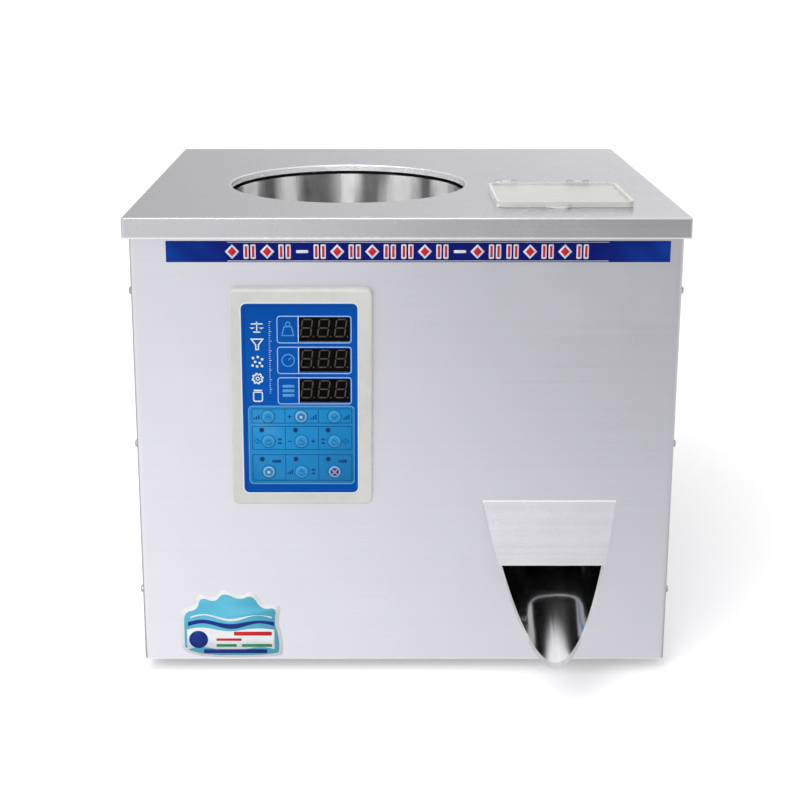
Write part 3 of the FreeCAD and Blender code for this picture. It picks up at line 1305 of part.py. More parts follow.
def solenoid_plunger():
    """The plunger: a flat eye with an upright slot, a collar and the round iron."""
    x = (PLUNGER_X - EYE_THICK / 2, PLUNGER_X + EYE_THICK / 2)
    z = (PLUNGER_Z - EYE_HEIGHT / 2, PLUNGER_Z + EYE_HEIGHT / 2)
    eye = block(x, (LINK_Y - EYE_FRONT, COLLAR_Y), z)
    collar = along_plunger(COLLAR_RADIUS, COLLAR_Y, COLLAR_Y + COLLAR_THICK)
    iron = along_plunger(PLUNGER_RADIUS, COLLAR_Y, SOLENOID_FRONT_Y + PLUNGER_TAIL + LINK_TRAVEL / 2)
    width = 2 * (LINK_PIN_RADIUS + BODY_GAP)
    slot = rounded_prism(width, EYE_SLOT_LENGTH, width / 2 - RUNNING_GAP, -EYE_THICK, EYE_THICK)
    slot.rotate(ORIGIN, UP, 90)
    slot.rotate(ORIGIN, BACK, 90)
    slot.translate(V(PLUNGER_X, LINK_Y, PLUNGER_Z))
    return fused([eye, collar, iron]).cut(slot)


def gate_solenoid():
    """The solenoid: coil body in a bent frame, bored for the plunger."""
    half_x = SOLENOID_WIDTH / 2
    half_z = SOLENOID_HEIGHT / 2
    rear = SOLENOID_FRONT_Y + SOLENOID_LENGTH
    frame = block(
        (PLUNGER_X - half_x, PLUNGER_X + half_x), (SOLENOID_FRONT_Y, rear), (PLUNGER_Z - half_z, PLUNGER_Z + half_z))
    inside_z = (PLUNGER_Z - half_z + SOLENOID_FRAME, PLUNGER_Z + half_z - SOLENOID_FRAME)
    inside = block(
        (PLUNGER_X - half_x, PLUNGER_X + half_x), (SOLENOID_FRONT_Y + SOLENOID_FRAME, rear - SOLENOID_FRAME), inside_z)
    coil = along_plunger(half_z - SOLENOID_FRAME + FIT_GAP, SOLENOID_FRONT_Y + SOLENOID_FRAME, rear - SOLENOID_FRAME)
    bore = along_plunger(PLUNGER_RADIUS + BODY_GAP, SOLENOID_FRONT_Y - SOLENOID_FRAME, rear + SOLENOID_FRAME)
    return fused([frame.cut(inside), coil]).cut(bore)


def gate_return_spring():
    """The coil spring that pushes the plunger out and so shuts the gate."""
    low = COLLAR_Y + COLLAR_THICK + RETURN_SPRING_WIRE + FIT_GAP
    high = SOLENOID_FRONT_Y - RETURN_SPRING_WIRE - FIT_GAP
    length = high - low
    helix = Part.makeHelix(length / RETURN_SPRING_TURNS, length, RETURN_SPRING_RADIUS)
    circle = Part.makeCircle(RETURN_SPRING_WIRE, V(RETURN_SPRING_RADIUS, 0, 0), BACK)
    spring = Part.Wire(helix.Edges).makePipeShell([Part.Wire([circle])], True, True)
    spring = Part.Solid(spring) if spring.ShapeType == "Shell" else spring
    spring.rotate(ORIGIN, RIGHT, -90)
    spring.translate(V(PLUNGER_X, low, PLUNGER_Z))
    return spring


def hopper_hanger():
    """The folded bracket that hangs the hopper on the load cell and carries the solenoid."""
    half = HANGER_WIDTH / 2
    y = (HANGER_FRONT_Y, HANGER_FRONT_Y + HANGER_SHEET)
    left = WEIGH_X - half
    right = PLUNGER_X + HANGER_SOLENOID_WIDTH
    back = block((left, right), y, (SOLENOID_TOP, WEIGH_TOP - HANGER_SHEET))
    cell_leg = block(
        (WEIGH_X - CELL_SIZE, WEIGH_X + CELL_SIZE), (y[0], CELL_FRONT_Y + 2 * CELL_END),
        (CELL_TOP, CELL_TOP + HANGER_SHEET))
    solenoid_leg = block(
        (PLUNGER_X - HANGER_SOLENOID_WIDTH, right), (y[0], SOLENOID_FRONT_Y + SOLENOID_LENGTH),
        (SOLENOID_TOP, SOLENOID_TOP + HANGER_SHEET))
    return fused([back, cell_leg, solenoid_leg])


def load_cell():
    """The aluminium bending beam with its two joined holes."""
    half = CELL_SIZE / 2
    bar = block(
        (WEIGH_X - half, WEIGH_X + half), (CELL_FRONT_Y, CELL_FRONT_Y + CELL_LENGTH), (CELL_TOP - CELL_SIZE, CELL_TOP))
    middle = V(WEIGH_X - CELL_SIZE, CELL_FRONT_Y + CELL_LENGTH / 2, CELL_TOP - half)
    cuts = []
    for way in (-1, 1):
        place = middle + BACK * (way * CELL_HOLE_SPREAD / 2)
        cuts.append(Part.makeCylinder(CELL_HOLE, 2 * CELL_SIZE, place, RIGHT))
    gap = CELL_HOLE / 4
    cuts.append(block(
        (middle.x, middle.x + 2 * CELL_SIZE), (middle.y - CELL_HOLE_SPREAD / 2, middle.y + CELL_HOLE_SPREAD / 2),
        (middle.z - gap, middle.z + gap)))
    return bar.cut(cuts)


def load_cell_stand():
    """The folded stand from the base tray to the fixed end of the load cell."""
    half = STAND_WIDTH / 2
    rear = CELL_FRONT_Y + CELL_LENGTH + STAND_DEPTH / 2
    front = rear - STAND_DEPTH
    top = CELL_TOP - CELL_SIZE - CELL_STANDOFF
    outer = block((WEIGH_X - half, WEIGH_X + half), (front, rear), (TRAY_TOP, top))
    inner = block(
        (WEIGH_X - half + STAND_SHEET, WEIGH_X + half - STAND_SHEET), (front - STAND_SHEET, rear - STAND_SHEET),
        (TRAY_TOP, top - STAND_SHEET))
    foot = block((WEIGH_X - half, WEIGH_X + half), (rear, rear + STAND_FOOT), (TRAY_TOP, TRAY_TOP + STAND_SHEET))
    spacer = block(
        (WEIGH_X - CELL_SIZE / 2, WEIGH_X + CELL_SIZE / 2),
        (CELL_FRONT_Y + CELL_LENGTH - CELL_END, CELL_FRONT_Y + CELL_LENGTH), (top, top + CELL_STANDOFF))
    return fused([outer.cut(inner), foot, spacer])


# Chute

def cone(shrink):
    """The chute's cone as a solid, drawn in by a wall (or out, if negative)."""
    apex = CHUTE_APEX + CHUTE_AXIS * (shrink / math.sin(FLARE))
    length = FAR / 2
    return Part.makeCone(0, length * math.tan(FLARE), length, apex, CHUTE_AXIS)


def trough():
    """The sheet of the cone that both the chute and the slide behind it are made of."""
    return cone(0).cut(cone(CHUTE_WALL))


def chute_flange(low_y):
    """The flat flange of chute or slide behind the front panel, open under the rim."""
    half = CHUTE_FLANGE_WIDTH / 2
    low_z = CHUTE_TOP - half - CHUTE_FLANGE
    plate = block(
        (CHUTE_X - half, CHUTE_X + half), (low_y, low_y + CHUTE_WALL), (low_z, CHUTE_TOP + CHUTE_FLANGE))
    return plate.cut(cone(CHUTE_WALL).cut(half_space(RIM_TOP, RIM_NORMAL)))


def discharge_chute():
    """The open scoop in front of the case, with its flange behind the front panel."""
    flange_y = FRONT_Y + SHEET
    shell = trough().cut(half_space(RIM_TOP, RIM_NORMAL))
    shell = shell.cut(half_space(V(0, flange_y + CHUTE_WALL, 0), BACK))
    return fused([shell, chute_flange(flange_y)])


def chute_cover():
    """The flat plate that closes the upper part of the chute."""
    slab = half_space(RIM_TOP, RIM_NORMAL).cut(half_space(RIM_TOP + RIM_NORMAL * COVER_THICK, RIM_NORMAL))
    plate = cone(-COVER_LAP).common(slab)
    plate = plate.cut(half_space(V(0, FRONT_Y, 0), BACK))
    return plate.cut(half_space(RIM_TOP - RIM_LINE * COVER_LENGTH, RIM_LINE * -1))


def inner_slide():
    """The slide from under the gate to the chute, with a flange and a closed back end."""
    start = FRONT_Y + SHEET + CHUTE_WALL
    end = FRONT_Y + SLIDE_DEPTH
    solid = trough().common(block((-FAR, FAR), (start, end), (0, SLIDE_TOP)))
    back = cone(CHUTE_WALL).common(block((-FAR, FAR), (end - CHUTE_WALL, end), (0, SLIDE_TOP)))
    over_walls = half_space(CHUTE_TIP + FLOOR_NORMAL * SLIDE_WALL_HEIGHT, FLOOR_NORMAL)
    return fused([fused([solid, back]).cut(over_walls), chute_flange(start)])


# Rear fittings and electrics

def power_inlet():
    """The mains inlet: flange, moulded body, mouth and three pins."""
    flange = rounded_prism(INLET_WIDTH, INLET_HEIGHT, INLET_HEIGHT / 4, 0, INLET_FLANGE)
    body = rounded_prism(INLET_BODY_WIDTH, INLET_BODY_HEIGHT, SHEET, -INLET_DEPTH, 0)
    floor = INLET_FLANGE - INLET_MOUTH_DEPTH
    mouth = rounded_prism(INLET_MOUTH_WIDTH, INLET_MOUTH_HEIGHT, SHEET, floor, 2 * INLET_FLANGE)
    holder = fused([flange, body]).cut(mouth)
    pins = []
    for x, y in ((-INLET_PIN_SPREAD, -INLET_PIN_DROP), (0, INLET_PIN_DROP), (INLET_PIN_SPREAD, -INLET_PIN_DROP)):
        pins.append(block(
            (x - INLET_PIN_WIDTH / 2, x + INLET_PIN_WIDTH / 2), (y - INLET_PIN_HEIGHT / 2, y + INLET_PIN_HEIGHT / 2),
            (floor, floor + INLET_PIN_LENGTH)))
    return on_rear(fused([holder] + pins), INLET_X, FITTING_Z)


def power_body_width():
    """Width of the power switch behind the panel."""
    return POWER_WIDTH - POWER_WALL


def power_body_height():
    """Height of the power switch behind the panel."""
    return POWER_HEIGHT - POWER_WALL


def rocker_half_height():
    """Half the height of the rocker's face, inside the switch's frame."""
    return POWER_HEIGHT / 2 - POWER_WALL - ROCKER_GAP - ROCKER_GAP / 2


def rocker_half_width():
    """Half the width of the rocker, inside the switch's frame."""
    return POWER_WIDTH / 2 - POWER_WALL - ROCKER_GAP / 2


def trunnions(radius, length):
    """The rocker's pivot pins as one rod, in the plane of the switch's frame."""
    return Part.makeCylinder(radius, length, V(-length / 2, 0, POWER_BEZEL / 2), RIGHT)


def power_switch_housing():
    """The frame and body that the rocker sits in."""
    frame = rounded_prism(POWER_WIDTH, POWER_HEIGHT, SHEET, 0, POWER_BEZEL)
    body = rounded_prism(power_body_width(), power_body_height(), SHEET, -POWER_DEPTH, 0)
    half_width = POWER_WIDTH / 2 - POWER_WALL
    half_height = POWER_HEIGHT / 2 - POWER_WALL
    well = block((-half_width, half_width), (-half_height, half_height), (POWER_WALL - POWER_DEPTH, 2 * POWER_BEZEL))
    holes = trunnions(TRUNNION_RADIUS + RUNNING_GAP, POWER_WIDTH - POWER_WALL)
    return on_rear(fused([frame, body]).cut([well, holes]), POWER_X, FITTING_Z)


def power_rocker():
    """The rocker, tipped to off."""
    half = rocker_half_height()
    reach = rocker_half_width()
    middle = POWER_BEZEL / 2
    points = [
        V(-reach, -half, middle - ROCKER_WAIST), V(-reach, -half, middle + ROCKER_PROUD),
        V(-reach, 0, middle + ROCKER_WAIST), V(-reach, half, middle + ROCKER_PROUD),
        V(-reach, half, middle - ROCKER_WAIST), V(-reach, 0, middle - ROCKER_BACK)]
    rocker = profile_prism(points, V(2 * reach, 0, 0))
    rocker = fused([rocker, trunnions(TRUNNION_RADIUS, 2 * reach + 2 * ROCKER_GAP)])
    rocker.rotate(V(0, 0, middle), RIGHT, ROCKER_TILT)
    return on_rear(rocker, POWER_X, FITTING_Z)


def fuse_holder():
    """The round fuse holder with its cap."""
    grip = FUSE_FLANGE_THICK + FUSE_CAP_LENGTH
    profile = [
        (0, -FUSE_BODY_LENGTH), (FUSE_BODY_RADIUS, -FUSE_BODY_LENGTH), (FUSE_BODY_RADIUS, 0), (FUSE_FLANGE_RADIUS, 0),
        (FUSE_FLANGE_RADIUS, FUSE_FLANGE_THICK), (FUSE_CAP_RADIUS, FUSE_FLANGE_THICK),
        (FUSE_CAP_RADIUS, grip - FUSE_FLANGE_THICK), (FUSE_CAP_RADIUS - FUSE_FLANGE_THICK, grip), (0, grip)]
    slot = block((-FUSE_CAP_RADIUS, FUSE_CAP_RADIUS), (-LOUVRE_WALL, LOUVRE_WALL), (grip - FUSE_FLANGE_THICK, grip))
    return on_rear(turned(profile).cut(slot), FUSE_X, FITTING_Z)


def pedal_socket():
    """The round socket for a foot pedal: threaded shell, nut and contact pins."""
    floor = SOCKET_PROUD - SOCKET_BORE_DEPTH
    profile = [
        (0, SOCKET_PROUD - SOCKET_LENGTH - SOCKET_PROUD), (SOCKET_RADIUS, SOCKET_PROUD - SOCKET_LENGTH - SOCKET_PROUD),
        (SOCKET_RADIUS, 0), (SOCKET_NUT_RADIUS, 0), (SOCKET_NUT_RADIUS, SOCKET_NUT_THICK),
        (SOCKET_RADIUS, SOCKET_NUT_THICK), (SOCKET_RADIUS, SOCKET_PROUD), (SOCKET_BORE, SOCKET_PROUD),
        (SOCKET_BORE, floor), (0, floor)]
    pieces = [turned(profile)]
    for index in range(SOCKET_PIN_COUNT):
        angle = 2 * math.pi * (index + 1 / 2) / SOCKET_PIN_COUNT
        place = (SOCKET_PIN_SPREAD * math.cos(angle), SOCKET_PIN_SPREAD * math.sin(angle))
        pieces.append(moved(disc(SOCKET_PIN_RADIUS, floor, floor + SOCKET_PIN_LENGTH), *place))
    return on_rear(fused(pieces), SOCKET_X, FITTING_Z)


def transformer():
    """The mains transformer on the base tray."""
    half = TRANSFORMER_WIDTH / 2
    deep = TRANSFORMER_DEPTH / 2
    core = block((-half, half), (-deep, deep), (0, TRANSFORMER_HEIGHT))
    coil_deep = TRANSFORMER_COIL / 2
    margin = TRANSFORMER_FOOT
    coil = rounded_prism(
        TRANSFORMER_WIDTH - 2 * margin, TRANSFORMER_COIL, SHEET, margin, TRANSFORMER_HEIGHT - margin)
    feet = block((-half - margin, half + margin), (-coil_deep / 2, coil_deep / 2), (0, SHEET))
    return moved(fused([core, coil, feet]), TRANSFORMER_X, TRANSFORMER_Y, TRAY_TOP)


def driver_board():
    """The board that drives the magnet and the solenoid, on four pillars."""
    half_x = DRIVER_WIDTH / 2
    half_y = DRIVER_DEPTH / 2
    board = block((-half_x, half_x), (-half_y, half_y), (DRIVER_LIFT, DRIVER_LIFT + BOARD_THICK))
    pieces = [board]
    for x in (-half_x + POST_INSET_Z, half_x - POST_INSET_Z):
        for y in (-half_y + POST_INSET_Z, half_y - POST_INSET_Z):
            pieces.append(moved(disc(POST_RADIUS, 0, DRIVER_LIFT), x, y))
    top = DRIVER_LIFT + BOARD_THICK
    sink = block((-HEAT_SINK_SIZE[0] / 2, HEAT_SINK_SIZE[0] / 2), (0, HEAT_SINK_SIZE[1]), (top, top + HEAT_SINK_SIZE[2]))
    pieces.append(moved(sink, 0, half_y - 2 * HEAT_SINK_SIZE[1]))
    for way in (-1, 1):
        capacitor = disc(CAPACITOR_RADIUS, top, top + CAPACITOR_HEIGHT)
        pieces.append(moved(capacitor, way * 1.5 * CAPACITOR_RADIUS, -half_y + 2 * CAPACITOR_RADIUS))
    return moved(fused(pieces), DRIVER_X, DRIVER_Y, TRAY_TOP)


def key_names():
    """Names of the nine keys by row and column."""
    return [f"key_{row}_{column}" for row in ("top", "middle", "bottom") for column in ("left", "centre", "right")]


SINGLE_PARTS = (
    top_plate, front_panel, left_side_panel, right_side_panel, rear_panel, corner_posts, base_plate,
    rubber_feet, case_screws, banner_strip,
    access_lid, lid_hinge_brackets, lid_hinge_pins,
    panel_bezel, panel_overlay, display_modules, indicator_lamps, control_board,
    bowl_shell, spiral_track, bowl_outlet_spout, bowl_clamp_bolt,
    bowl_mount_plate, leaf_springs, lower_spring_clamps, upper_spring_clamps, drive_base,
    isolation_mounts, feeder_bridge, armature, magnet_core, magnet_coil,
    weigh_hopper, hopper_gate, gate_pivot_pin, solenoid_plunger, gate_solenoid, gate_return_spring,
    hopper_hanger, load_cell, load_cell_stand,
    discharge_chute, chute_cover, inner_slide,
    power_inlet, power_switch_housing, power_rocker, fuse_holder, pedal_socket, transformer, driver_board,
)


def main():
    """Build every node and write it to its own file."""
    parts = {build.__name__: build() for build in SINGLE_PARTS}
    for name, (x, z) in zip(key_names(), key_places()):
        parts[name] = panel_key(x, z)
    for name, shape in parts.items():
        shape.exportStep(f"parts/{name}.step")
        print(f"{name}: {len(shape.Solids)} solids, volume {shape.Volume:.0f}, valid {shape.isValid()}")


main()
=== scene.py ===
"""Looks of a benchtop granule filling machine.

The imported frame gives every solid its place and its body. This script gives each
of them a worked-out finish, adds the printed films, the display segments, the
sticker and the magnet winding, and sets the studio. Lengths are in metres, X runs
to the right, Y to the back and Z up. Names that end in mm, in capitals or not, are
in millimetres, and so are the points of every Form until its mesh is made.
"""

import logging
import math
from collections.abc import Callable, Sequence
from dataclasses import dataclass, field
from enum import Enum

import bpy
import numpy as np
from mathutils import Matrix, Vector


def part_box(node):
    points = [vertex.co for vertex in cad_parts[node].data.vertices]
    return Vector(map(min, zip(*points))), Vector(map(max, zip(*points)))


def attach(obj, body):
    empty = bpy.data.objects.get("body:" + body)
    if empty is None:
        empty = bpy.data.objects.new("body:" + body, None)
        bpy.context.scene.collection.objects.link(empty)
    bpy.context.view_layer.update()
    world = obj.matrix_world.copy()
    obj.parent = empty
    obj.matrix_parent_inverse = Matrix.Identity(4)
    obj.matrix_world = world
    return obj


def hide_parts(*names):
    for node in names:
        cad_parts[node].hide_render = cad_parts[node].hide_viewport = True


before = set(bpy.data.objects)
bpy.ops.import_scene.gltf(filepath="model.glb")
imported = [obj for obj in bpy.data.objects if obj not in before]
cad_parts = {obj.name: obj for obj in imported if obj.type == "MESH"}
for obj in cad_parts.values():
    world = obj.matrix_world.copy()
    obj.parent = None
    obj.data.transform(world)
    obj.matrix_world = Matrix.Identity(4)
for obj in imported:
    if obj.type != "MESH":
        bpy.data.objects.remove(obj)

Colour = tuple[float, float, float]
Point = tuple[float, float, float]
Array = np.ndarray
Socket = bpy.types.NodeSocket
Value = float | tuple[float, ...] | bpy.types.NodeSocket

MM = 0.001
CASE_FRONT_MM = -150.0
PANEL_FRONT_MM = -158.0
HOPPER_CENTRE_MM = (-45.7, 8.4)
INK_MM = 0.02
INK_ROUGHNESS = 0.35
LOG = logging.getLogger("filling_machine")

SHEET_DUST: Colour = (0.55, 0.54, 0.52)
CASTING_DUST: Colour = (0.42, 0.4, 0.37)
PLASTIC_DUST: Colour = (0.5, 0.48, 0.45)
RIM_HIGHLIGHT_WHITE: Colour = (0.97, 0.97, 0.98)
CUT_EDGE_HIGHLIGHT_WHITE: Colour = (0.98, 0.98, 1.0)
POLISHED: Colour = (0.62, 0.62, 0.63)
GALVANISED: Colour = (0.45, 0.46, 0.48)
SCREW: Colour = (0.5, 0.5, 0.52)
COPPER: Colour = (0.55, 0.16, 0.05)
BOARD_GREEN: Colour = (0.01, 0.09, 0.03)
WHITE_INK: Colour = (0.82, 0.86, 0.92)
SKY_INK: Colour = (0.012, 0.25, 0.58)
PALE_INK: Colour = (0.10, 0.36, 0.70)
BOX_INK: Colour = (0.38, 0.58, 0.86)
RULE_INK: Colour = (0.0, 0.07, 0.27)
RED_INK: Colour = (0.65, 0.02, 0.03)


class Lay(Enum):
    """Which way the rolling or brushing lines of a metal run, as noise scales per metre."""

    ACROSS = (2.5, 330.0, 330.0)
    DEEP = (330.0, 2.5, 330.0)
    UPRIGHT = (330.0, 330.0, 2.5)
    # drawn lines; with a strong contrast they serve as painted reflection streaks
    DRAWN_AND_REFLECTED = (95.0, 3.0, 3.0)
    EVEN = (150.0, 150.0, 150.0)


class Effect(Enum):
    """The shared effects, each a node group that is built once."""

    GRAIN = "brushed grain"
    # bright edges, partly wear and partly painted highlight
    EDGES = "edge wear and highlight"
    SMUDGE = "handling smudge"
    DUST = "settled dust"
    SKIN = "cast skin"
    # spun marks and painted reflection: dark and bright streaks round an axis
    SPUN_AND_REFLECTION = "turned streaks"
    RING = "ring band"


def shade(colour: Colour, factor: float) -> tuple[float, float, float, float]:
    """A colour made lighter or darker.

    Args:
        colour: linear red, green and blue.
        factor: what each channel is multiplied by, held below one.

    Returns:
        The colour with an alpha of one.
    """
    return tuple(min(1.0, channel * factor) for channel in colour) + (1.0,)


class Graph:
    """A short way to write a node tree."""

    def __init__(self, tree: bpy.types.NodeTree) -> None:
        """Takes the tree that the nodes go into."""
        self.tree = tree

    def put(self, kind: str, sockets: dict[str | int, Value] | None = None,
            **settings: object) -> bpy.types.Node:
        """Adds one node.

        Args:
            kind: the node's type name.
            sockets: a value or another node's output for each named input.
            settings: the node's own settings.

        Returns:
            The node.
        """
        node = self.tree.nodes.new(kind)
        for name, value in settings.items():
            setattr(node, name, value)
        for key, value in (sockets or {}).items():
            if isinstance(value, bpy.types.NodeSocket):
                self.tree.links.new(value, node.inputs[key])
            else:
                node.inputs[key].default_value = value
        return node

    def maths(self, operation: str, a: Value, b: Value = 0.0, clamp: bool = False) -> Socket:
        """One sum on one or two values; returns its result."""
        return self.put("ShaderNodeMath", {0: a, 1: b}, operation=operation, use_clamp=clamp).outputs[0]

    def vector(self, operation: str, a: Value, b: Value = (0.0, 0.0, 0.0)) -> Socket:
        """One sum on one or two vectors; returns its result."""
        return self.put("ShaderNodeVectorMath", {0: a, 1: b}, operation=operation).outputs[0]

    def parts(self, vector: Value) -> Sequence[Socket]:
        """The three parts of a vector."""
        return self.put("ShaderNodeSeparateXYZ", {0: vector}).outputs

    def mix(self, factor: Value, a: Value, b: Value) -> Socket:
        """The colour a where the factor is nought and b where it is one."""
        return self.put("ShaderNodeMix", {0: factor, 6: a, 7: b}, data_type="RGBA").outputs[2]

    def remap(self, value: Value, low: Value, high: Value, to_low: Value, to_high: Value) -> Socket:
        """The value moved from one range to another and held inside it."""
        sockets = {"Value": value, "From Min": low, "From Max": high, "To Min": to_low, "To Max": to_high}
        return self.put("ShaderNodeMapRange", sockets).outputs[0]

    def noise(self, place: Value, scale: Value, detail: float = 2.0) -> Socket:
        """Soft noise from nought to one at a place."""
        return self.put("ShaderNodeTexNoise", {"Vector": place, "Scale": scale, "Detail": detail}).outputs[0]

    def object_place(self) -> Socket:
        """The shaded point in the object's own coordinates."""
        return self.put("ShaderNodeTexCoord").outputs["Object"]

    def effect(self, effect: Effect, **sockets: Value) -> Socket:
        """Places a shared effect with its own values; returns its mask."""
        return self.put("ShaderNodeGroup", dict(sockets), node_tree=EFFECTS.tree(effect)).outputs["Mask"]

    def watchers(self) -> tuple[Socket, Socket]:
        """One for rays of the camera or through clear plastic, and one for rays off polished metal."""
        path = self.put("ShaderNodeLightPath").outputs
        return self.maths("MAXIMUM", path["Is Camera Ray"], path["Is Transmission Ray"]), path["Is Glossy Ray"]


def blank_graph(owner: bpy.types.Material | bpy.types.World) -> Graph:
    """Gives a new material or world an empty node tree.

    Args:
        owner: the material or world.

    Returns:
        The graph to write in.
    """
    owner.use_nodes = True
    owner.node_tree.nodes.clear()
    return Graph(owner.node_tree)


class EffectLibrary:
    """Builds each shared effect the first time that a finish asks for it."""

    def __init__(self) -> None:
        """Starts with nothing built."""
        self.built: dict[Effect, bpy.types.NodeTree] = {}

    def tree(self, effect: Effect) -> bpy.types.NodeTree:
        """The node group of one effect.

        Args:
            effect: which of the shared effects.

        Returns:
            The group, with its named inputs and an output named Mask.
        """
        if effect not in self.built:
            makers: dict[Effect, Callable[[bpy.types.NodeTree], None]] = {
                Effect.GRAIN: self.grain, Effect.EDGES: self.edges, Effect.SMUDGE: self.smudge,
                Effect.DUST: self.dust, Effect.SKIN: self.skin, Effect.SPUN_AND_REFLECTION: self.turned,
                Effect.RING: self.ring}
            tree = bpy.data.node_groups.new(effect.value, "ShaderNodeTree")
            makers[effect](tree)
            self.built[effect] = tree
        return self.built[effect]

    def open(self, tree: bpy.types.NodeTree,
             **inputs: float | tuple[float, ...]) -> tuple[Graph, Sequence[Socket]]:
        """Gives a group its sockets.

        Args:
            tree: the new group.
            inputs: each input's name and first value; a tuple makes a vector.

        Returns:
            The graph to write in and the inputs as they arrive in it.
        """
        for name, value in inputs.items():
            kind = "NodeSocketVector" if isinstance(value, tuple) else "NodeSocketFloat"
            socket = tree.interface.new_socket(name=name, in_out="INPUT", socket_type=kind)
            socket.default_value = value
        tree.interface.new_socket(name="Mask", in_out="OUTPUT", socket_type="NodeSocketFloat")
        graph = Graph(tree)
        return graph, graph.put("NodeGroupInput").outputs

    def close(self, graph: Graph, mask: Socket) -> None:
        """Sends the mask out of the group."""
        graph.put("NodeGroupOutput", {"Mask": mask})

    def grain(self, tree: bpy.types.NodeTree) -> None:
        """Lines of a rolled or brushed sheet: noise stretched along one axis.

        Args:
            tree: the new group.
        """
        graph, given = self.open(tree, Scale=(2.5, 330.0, 330.0))
        place = graph.vector("MULTIPLY", graph.object_place(), given["Scale"])
        fine = graph.noise(place, 1.0, 3.0)
        self.close(graph, graph.remap(fine, 0.25, 0.75, 0.0, 1.0))

    def edges(self, tree: bpy.types.NodeTree) -> None:
        """One along the edges of a box-like node, broken up by noise, nought on its faces; the finishes
        brighten it partly as wear and partly as a painted highlight.

        The distance to the nearer face is found for each axis. The middle one of the
        three is small only where two faces meet, which is an edge.

        Args:
            tree: the new group.
        """
        graph, given = self.open(tree, Low=(0.0, 0.0, 0.0), High=(1.0, 1.0, 1.0), Width=0.001, Evenness=0.45)
        place = graph.object_place()
        from_low = graph.vector("SUBTRACT", place, given["Low"])
        from_high = graph.vector("SUBTRACT", given["High"], place)
        near = graph.parts(graph.vector("MINIMUM", from_low, from_high))
        smaller = graph.maths("MINIMUM", near[0], near[1])
        larger = graph.maths("MAXIMUM", near[0], near[1])
        middle = graph.maths("MAXIMUM", smaller, graph.maths("MINIMUM", larger, near[2]))
        line = graph.remap(middle, 0.0, given["Width"], 1.0, 0.0)
        broken = graph.remap(graph.noise(place, 55.0, 3.0), 0.3, 0.6, 0.0, 1.0)
        kept = graph.maths("MAXIMUM", broken, given["Evenness"])
        self.close(graph, graph.maths("MULTIPLY", line, kept))

    def smudge(self, tree: bpy.types.NodeTree) -> None:
        """Soft patches where hands and cloths have been: two noises multiplied.

        Args:
            tree: the new group.
        """
        graph, given = self.open(tree, Scale=9.0)
        place = graph.object_place()
        broad = graph.noise(place, given["Scale"], 4.0)
        fine = graph.noise(place, graph.maths("MULTIPLY", given["Scale"], 5.3), 3.0)
        self.close(graph, graph.remap(graph.maths("MULTIPLY", broad, fine), 0.12, 0.4, 0.0, 1.0))

    def dust(self, tree: bpy.types.NodeTree) -> None:
        """Dust on what faces up: the normal's height times noise, times the amount.

        Args:
            tree: the new group.
        """
        graph, given = self.open(tree, Amount=0.3)
        upward = graph.parts(graph.put("ShaderNodeNewGeometry").outputs["Normal"])[2]
        facing = graph.remap(upward, 0.5, 1.0, 0.0, 1.0)
        patches = graph.remap(graph.noise(graph.object_place(), 38.0, 5.0), 0.35, 0.75, 0.0, 1.0)
        lying = graph.maths("MULTIPLY", facing, patches)
        self.close(graph, graph.maths("MULTIPLY", lying, given["Amount"]))

    def skin(self, tree: bpy.types.NodeTree) -> None:
        """The fine pebbled skin of a casting, a moulding or a powder coat.

        It is the distance to the cells of a cell pattern and a noise, half and half.

        Args:
            tree: the new group.
        """
        graph, given = self.open(tree, Scale=900.0)
        place = graph.object_place()
        sockets = {"Vector": place, "Scale": given["Scale"]}
        pebbles = graph.maths("MULTIPLY", graph.put("ShaderNodeTexVoronoi", sockets).outputs[0], 0.5)
        coarser = graph.maths("MULTIPLY", given["Scale"], 0.4)
        grit = graph.maths("MULTIPLY", graph.noise(place, coarser, 3.0), 0.5)
        self.close(graph, graph.maths("ADD", pebbles, grit))

    def turned(self, tree: bpy.types.NodeTree) -> None:
        """Streaks up the wall of a spun part, from waves and noise round an axis: partly spun marks, partly a
        painted reflection of the studio in dark and bright bands.

        The broad streaks are a sine of the angle round the axis. The fine ones are noise
        placed by the point's direction from the axis, made one long, so both run
        straight up the wall and meet without a seam.

        Args:
            tree: the new group.
        """
        graph, given = self.open(tree, Centre=(0.0, 0.0, 0.0), Fineness=4.0, Waves=11.0, Start=0.0)
        arm = graph.vector("SUBTRACT", graph.object_place(), given["Centre"])
        flat = graph.vector("NORMALIZE", graph.vector("MULTIPLY", arm, (1.0, 1.0, 0.0)))
        rise = graph.vector("MULTIPLY", arm, (0.0, 0.0, 2.5))
        place = graph.vector("ADD", flat, rise)
        broad = graph.noise(place, given["Fineness"], 2.0)
        fine = graph.noise(place, graph.maths("MULTIPLY", given["Fineness"], 6.0), 3.0)
        sides = graph.parts(flat)
        angle = graph.maths("MULTIPLY", graph.maths("ARCTAN2", sides[1], sides[0]), given["Waves"])
        swung = graph.maths("ADD", angle, graph.remap(broad, 0.3, 0.7, -0.9, 0.9))
        sine = graph.maths("SINE", graph.maths("ADD", swung, given["Start"]))
        wave = graph.remap(sine, -0.8, 0.8, 0.0, 1.0)
        both = graph.maths("ADD", graph.maths("MULTIPLY", wave, 0.88), graph.maths("MULTIPLY", fine, 0.12))
        self.close(graph, graph.remap(both, 0.06, 0.94, 0.0, 1.0))

